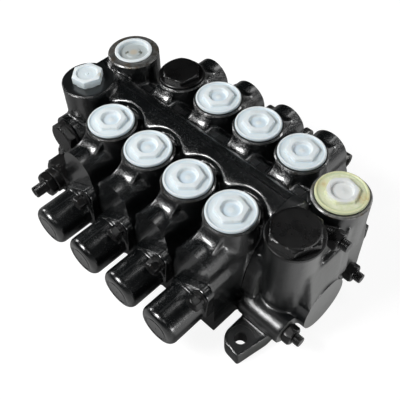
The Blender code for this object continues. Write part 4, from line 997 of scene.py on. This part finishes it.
def add_screws():
    """Hexagon screws over a spring washer and a flat washer. The CAD has all three as one solid."""
    count = 96
    seat = -HOUSING - 2 * SEAT - 0.006
    flat_end = seat - 0.0014
    ring_end = flat_end - 0.0022
    flat = [(0.0031, seat), (0.0055, seat), (0.0058, seat - 0.0003), (0.0058, flat_end + 0.0004),
            (0.0054, flat_end + 0.00005), (0.0031, flat_end + 0.00005)]
    head = ((0.0055, 0.0002), (0.0057, 0.0006), (0.0057, 0.0042), (0.0053, 0.0049), (0.0047, 0.0055))
    for number, x in sections():
        for row, (screw_x, screw_z) in enumerate(screw_places(x)):
            centre = (screw_x, 0.0, screw_z)
            name = f"{number}_{('upper', 'lower')[row]}"
            steel_piece(lathe(flat, "Y", centre, 64, closed=True), f"flat_washer_{name}", None)
            gap_at = 70.0 * (number - 1) + 150.0 * row
            washer = split_ring(centre, ring_end + 0.00005, flat_end, 0.0031, 0.0048, gap_at)
            steel_piece(washer, f"spring_washer_{name}", None)
            turned = SCREW_TURNS[2 * (number - 1) + row]
            rings = rounds(((0.0, 0.011), (0.0026, 0.011), (0.0030, 0.0105)), -HOUSING, 1, count)
            rings += rounds(((0.0030, 0.0), (0.0046, 0.0)), ring_end, 1, count)
            rings += hexes([(0.0098, along, most) for most, along in head], turned, 80.0, ring_end, -1, count)
            rings += rounds(((0.0043, 0.0055), (0.0040, 0.0052), (0.0015, 0.0051), (0.0, 0.0051)),
                            ring_end, -1, count)
            steel_piece(shell(rings, "Y", centre), f"screw_{name}", f"cap_screw_{name}")


# Spools and their retainers

def add_spools():
    tip = 0.107
    root = tip - 0.022
    half = 0.007
    land, waist = 0.007, 0.0048
    bar = [(0.0, -HOUSING), (land, -HOUSING)]
    for middle in (-0.032, 0.0, 0.032):
        bar += [(land, middle - half), (waist, middle - half), (waist, middle + half), (land, middle + half)]
    bar += [(land, root - 0.0008), (0.0062, root), (0.0, root)]
    tongue = [(root - 0.003, SPOOL_Z - half), *arc(half, (tip - half, SPOOL_Z), -90.0, 90.0, 24),
              (root - 0.003, SPOOL_Z + half)]
    face = HOUSING + SEAT
    outer = face + 0.003
    ring = [(0.0073, HOUSING - 0.004), (0.0098, HOUSING - 0.004), (0.0098, face), (0.0123, face),
            (0.0125, face + 0.0003), (0.0125, outer - 0.0007), (0.0118, outer), (0.0085, outer),
            (0.0073, outer - 0.0008)]
    for number, x in sections():
        centre = (x, 0.0, SPOOL_Z)
        item = link(prism(tongue, "X", x - 0.003, x + 0.003))
        bevel = item.modifiers.new("bevel", "BEVEL")
        bevel.width = 0.0006
        bevel.segments = 2
        bevel.limit_method = "ANGLE"
        bevel.angle_limit = math.radians(50)
        mesh = cut(evaluated(item), "UNION", [lathe(bar, "Y", centre, 64)], "EXACT")
        eye = rod(0.004, "X", x - 0.01, x + 0.01, (0.0, tip - 0.0075, SPOOL_Z), 48)
        bore = rod(0.0038, "Y", -0.08, -HOUSING + 0.0103, centre, 32)
        mesh = cut(mesh, "DIFFERENCE", [eye, bore], "EXACT")
        piece(mesh, f"spool_bar_{number}", [f"spool_{number}"], STEEL_BRIGHT,
              f"spool_group_{number}")
        retainer = lathe(ring, "Y", centre, 72, closed=True)
        steel_piece(retainer, f"retainer_{number}", f"wiper_retainer_{number}", PLUG_BLACK)


def spring_coil(centre, start, end, turns=4, radius=0.0086, wire=0.0012):
    """A wire wound round the Y axis, with its ends inside the seats."""
    bm = bmesh.new()
    rings = []
    steps = turns * 40
    for step in range(steps + 1):
        angle = 2 * math.pi * step / 40
        along = start + (end - start) * step / steps
        out = Vector((math.cos(angle), 0.0, math.sin(angle)))
        middle = Vector(centre) + out * radius + Vector((0.0, along, 0.0))
        ring = []
        for side in range(14):
            around = 2 * math.pi * side / 14
            offset = out * math.cos(around) + Vector((0.0, 1.0, 0.0)) * math.sin(around)
            ring.append(bm.verts.new(middle + offset * wire))
        rings.append(ring)
    for first, second in zip(rings, rings[1:]):
        bridge(bm, first, second)
    bm.faces.new(rings[0])
    bm.faces.new(rings[-1])
    return mesh_from(bm)


def add_springs():
    """Coils between two seats. A spring shortens from both ends, so it stays clear at both limits."""
    near = -HOUSING - SEAT
    far = near - 0.021
    for number, x in sections():
        centre = (x, 0.0, SPOOL_Z)
        seats = []
        for low, high in ((near - 0.002, near), (far, far + 0.002)):
            profile = [(0.0038, low + 0.0003), (0.0041, low), (0.0109, low), (0.0112, low + 0.0003),
                       (0.0112, high - 0.0003), (0.0109, high), (0.0041, high), (0.0038, high - 0.0003)]
            seats.append(lathe(profile, "Y", centre, 72, closed=True))
        mesh = cut(spring_coil(centre, far + 0.0020, near - 0.0020), "UNION", seats)
        item = piece(mesh, f"spring_{number}", [f"centring_spring_{number}"], STEEL_BRIGHT)
        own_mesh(item)


def dress_kept_nodes():
    for number in range(1, SECTIONS + 1):
        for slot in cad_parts[f"spool_screw_{number}"].material_slots:
            slot.material = STEEL_BRIGHT


# Stage

LAMPS = {  # place, size and power
    "softbox_front": ((-0.36, -0.77, 0.98), (0.42, 0.42), 14.0),
    "lamp_near_camera": ((0.44, -0.48, 0.92), (0.30, 0.30), 0.35),
    "lamp_left": ((-1.10, -0.22, 0.42), (0.30, 0.30), 2.6),
    "panel_above": ((0.17, 0.58, 1.14), (0.40, 0.50), 2.0),
    "lamp_behind": ((0.60, 0.90, 0.42), (0.24, 0.24), 1.8),
    "strip_right": ((1.10, -0.06, 0.16), (0.40, 0.20), 2.6),
}
AIM = Vector((0.0, 0.0, 0.05))


def add_lamps():
    for name, (place, size, power) in LAMPS.items():
        data = bpy.data.lights.new(name, "AREA")
        data.shape = "RECTANGLE"
        data.size, data.size_y = size
        data.energy = power
        item = link(data, name)
        item.location = place
        item.rotation_euler = (AIM - Vector(place)).to_track_quat("-Z", "Y").to_euler()


def add_floor():
    """A white floor that keeps a faint shadow. In reflections its glow is painted light: dark close to the
    valve as a painted shadow, and bright ahead of the caps and on the +X side.
    """
    reach = 6.0
    corners = ((-reach, -reach), (reach, -reach), (reach, reach), (-reach, reach))
    bm = bmesh.new()
    bm.faces.new([bm.verts.new((x, y, 0.0)) for x, y in corners])
    floor = link(mesh_from(bm), "floor")
    n = Nodes(bpy.data.materials.new("pale_floor"))
    n.tree.nodes.remove(n.tree.nodes["Principled BSDF"])
    x, y, _ = n.split()
    ray = n.make("ShaderNodeLightPath").outputs
    # Painted light for reflections of the floor: a painted shadow close to the valve, a painted pool of light
    # ahead of the caps and a brighter one on the +X side.
    ahead = n.times(n.span(y, -0.128, -0.112, 0.32, 0.0), n.span(x, -0.130, -0.105, 0.0, 1.0))
    right = n.times(n.span(x, 0.112, 0.150, 0.0, 0.68), n.span(y, -0.112, -0.082, 0.0, 1.0))
    painted_floor_reflection = n.chain("MAXIMUM", ahead, right, 0.03)
    mirrored = n.times(n.math("MAXIMUM", ray["Is Glossy Ray"], ray["Is Transmission Ray"]), painted_floor_reflection)
    strength = n.times(n.math("MAXIMUM", ray["Is Camera Ray"], mirrored), 0.90)
    glow = n.make("ShaderNodeEmission", {"Strength": strength})
    matt = n.make("ShaderNodeBsdfDiffuse", {"Color": (0.18, 0.18, 0.18)})
    both = n.make("ShaderNodeAddShader", {0: glow.outputs[0], 1: matt.outputs[0]})
    n.fill(n.tree.nodes["Material Output"], {"Surface": both.outputs[0]})
    floor.data.materials.append(n.owner)


def add_world():
    """A dim room that is brighter near the horizon on the side of the end section."""
    world = bpy.data.worlds.new("studio")
    bpy.context.scene.world = world
    n = Nodes(world, "Generated")
    x, _, z = n.split()
    side = n.span(x, -0.2, 0.85, 0.0, 0.20, smooth=True)
    horizon = n.span(z, 0.05, 0.55, 1.0, 0.1, smooth=True)
    strength = n.math("MULTIPLY_ADD", side, horizon, 0.006)
    n.fill(n.tree.nodes["Background"], {"Strength": strength, "Color": (0.98, 1.0, 1.02)})


def add_camera():
    """The camera fitted to the photograph. The rows are its right, up and back axes and its place."""
    data = bpy.data.cameras.new("camera")
    data.lens = 55.94
    data.sensor_width = 36.0
    data.sensor_fit = "HORIZONTAL"
    data.clip_start = 0.01
    item = link(data, "camera")
    item.matrix_world = Matrix((
        (0.70896, 0.70480, -0.02522, 0.0),
        (-0.54215, 0.56753, 0.61966, 0.0),
        (0.45105, -0.42564, 0.78447, 0.0),
        (0.22295, -0.21544, 0.41645, 1.0),
    )).transposed()
    bpy.context.scene.camera = item


def main():
    add_castings()
    add_plugs()
    add_relief()
    add_rods()
    add_screws()
    add_spools()
    add_springs()
    dress_kept_nodes()
    add_floor()
    add_world()
    add_lamps()
    add_camera()
    bpy.context.scene.view_settings.view_transform = "Standard"


main()
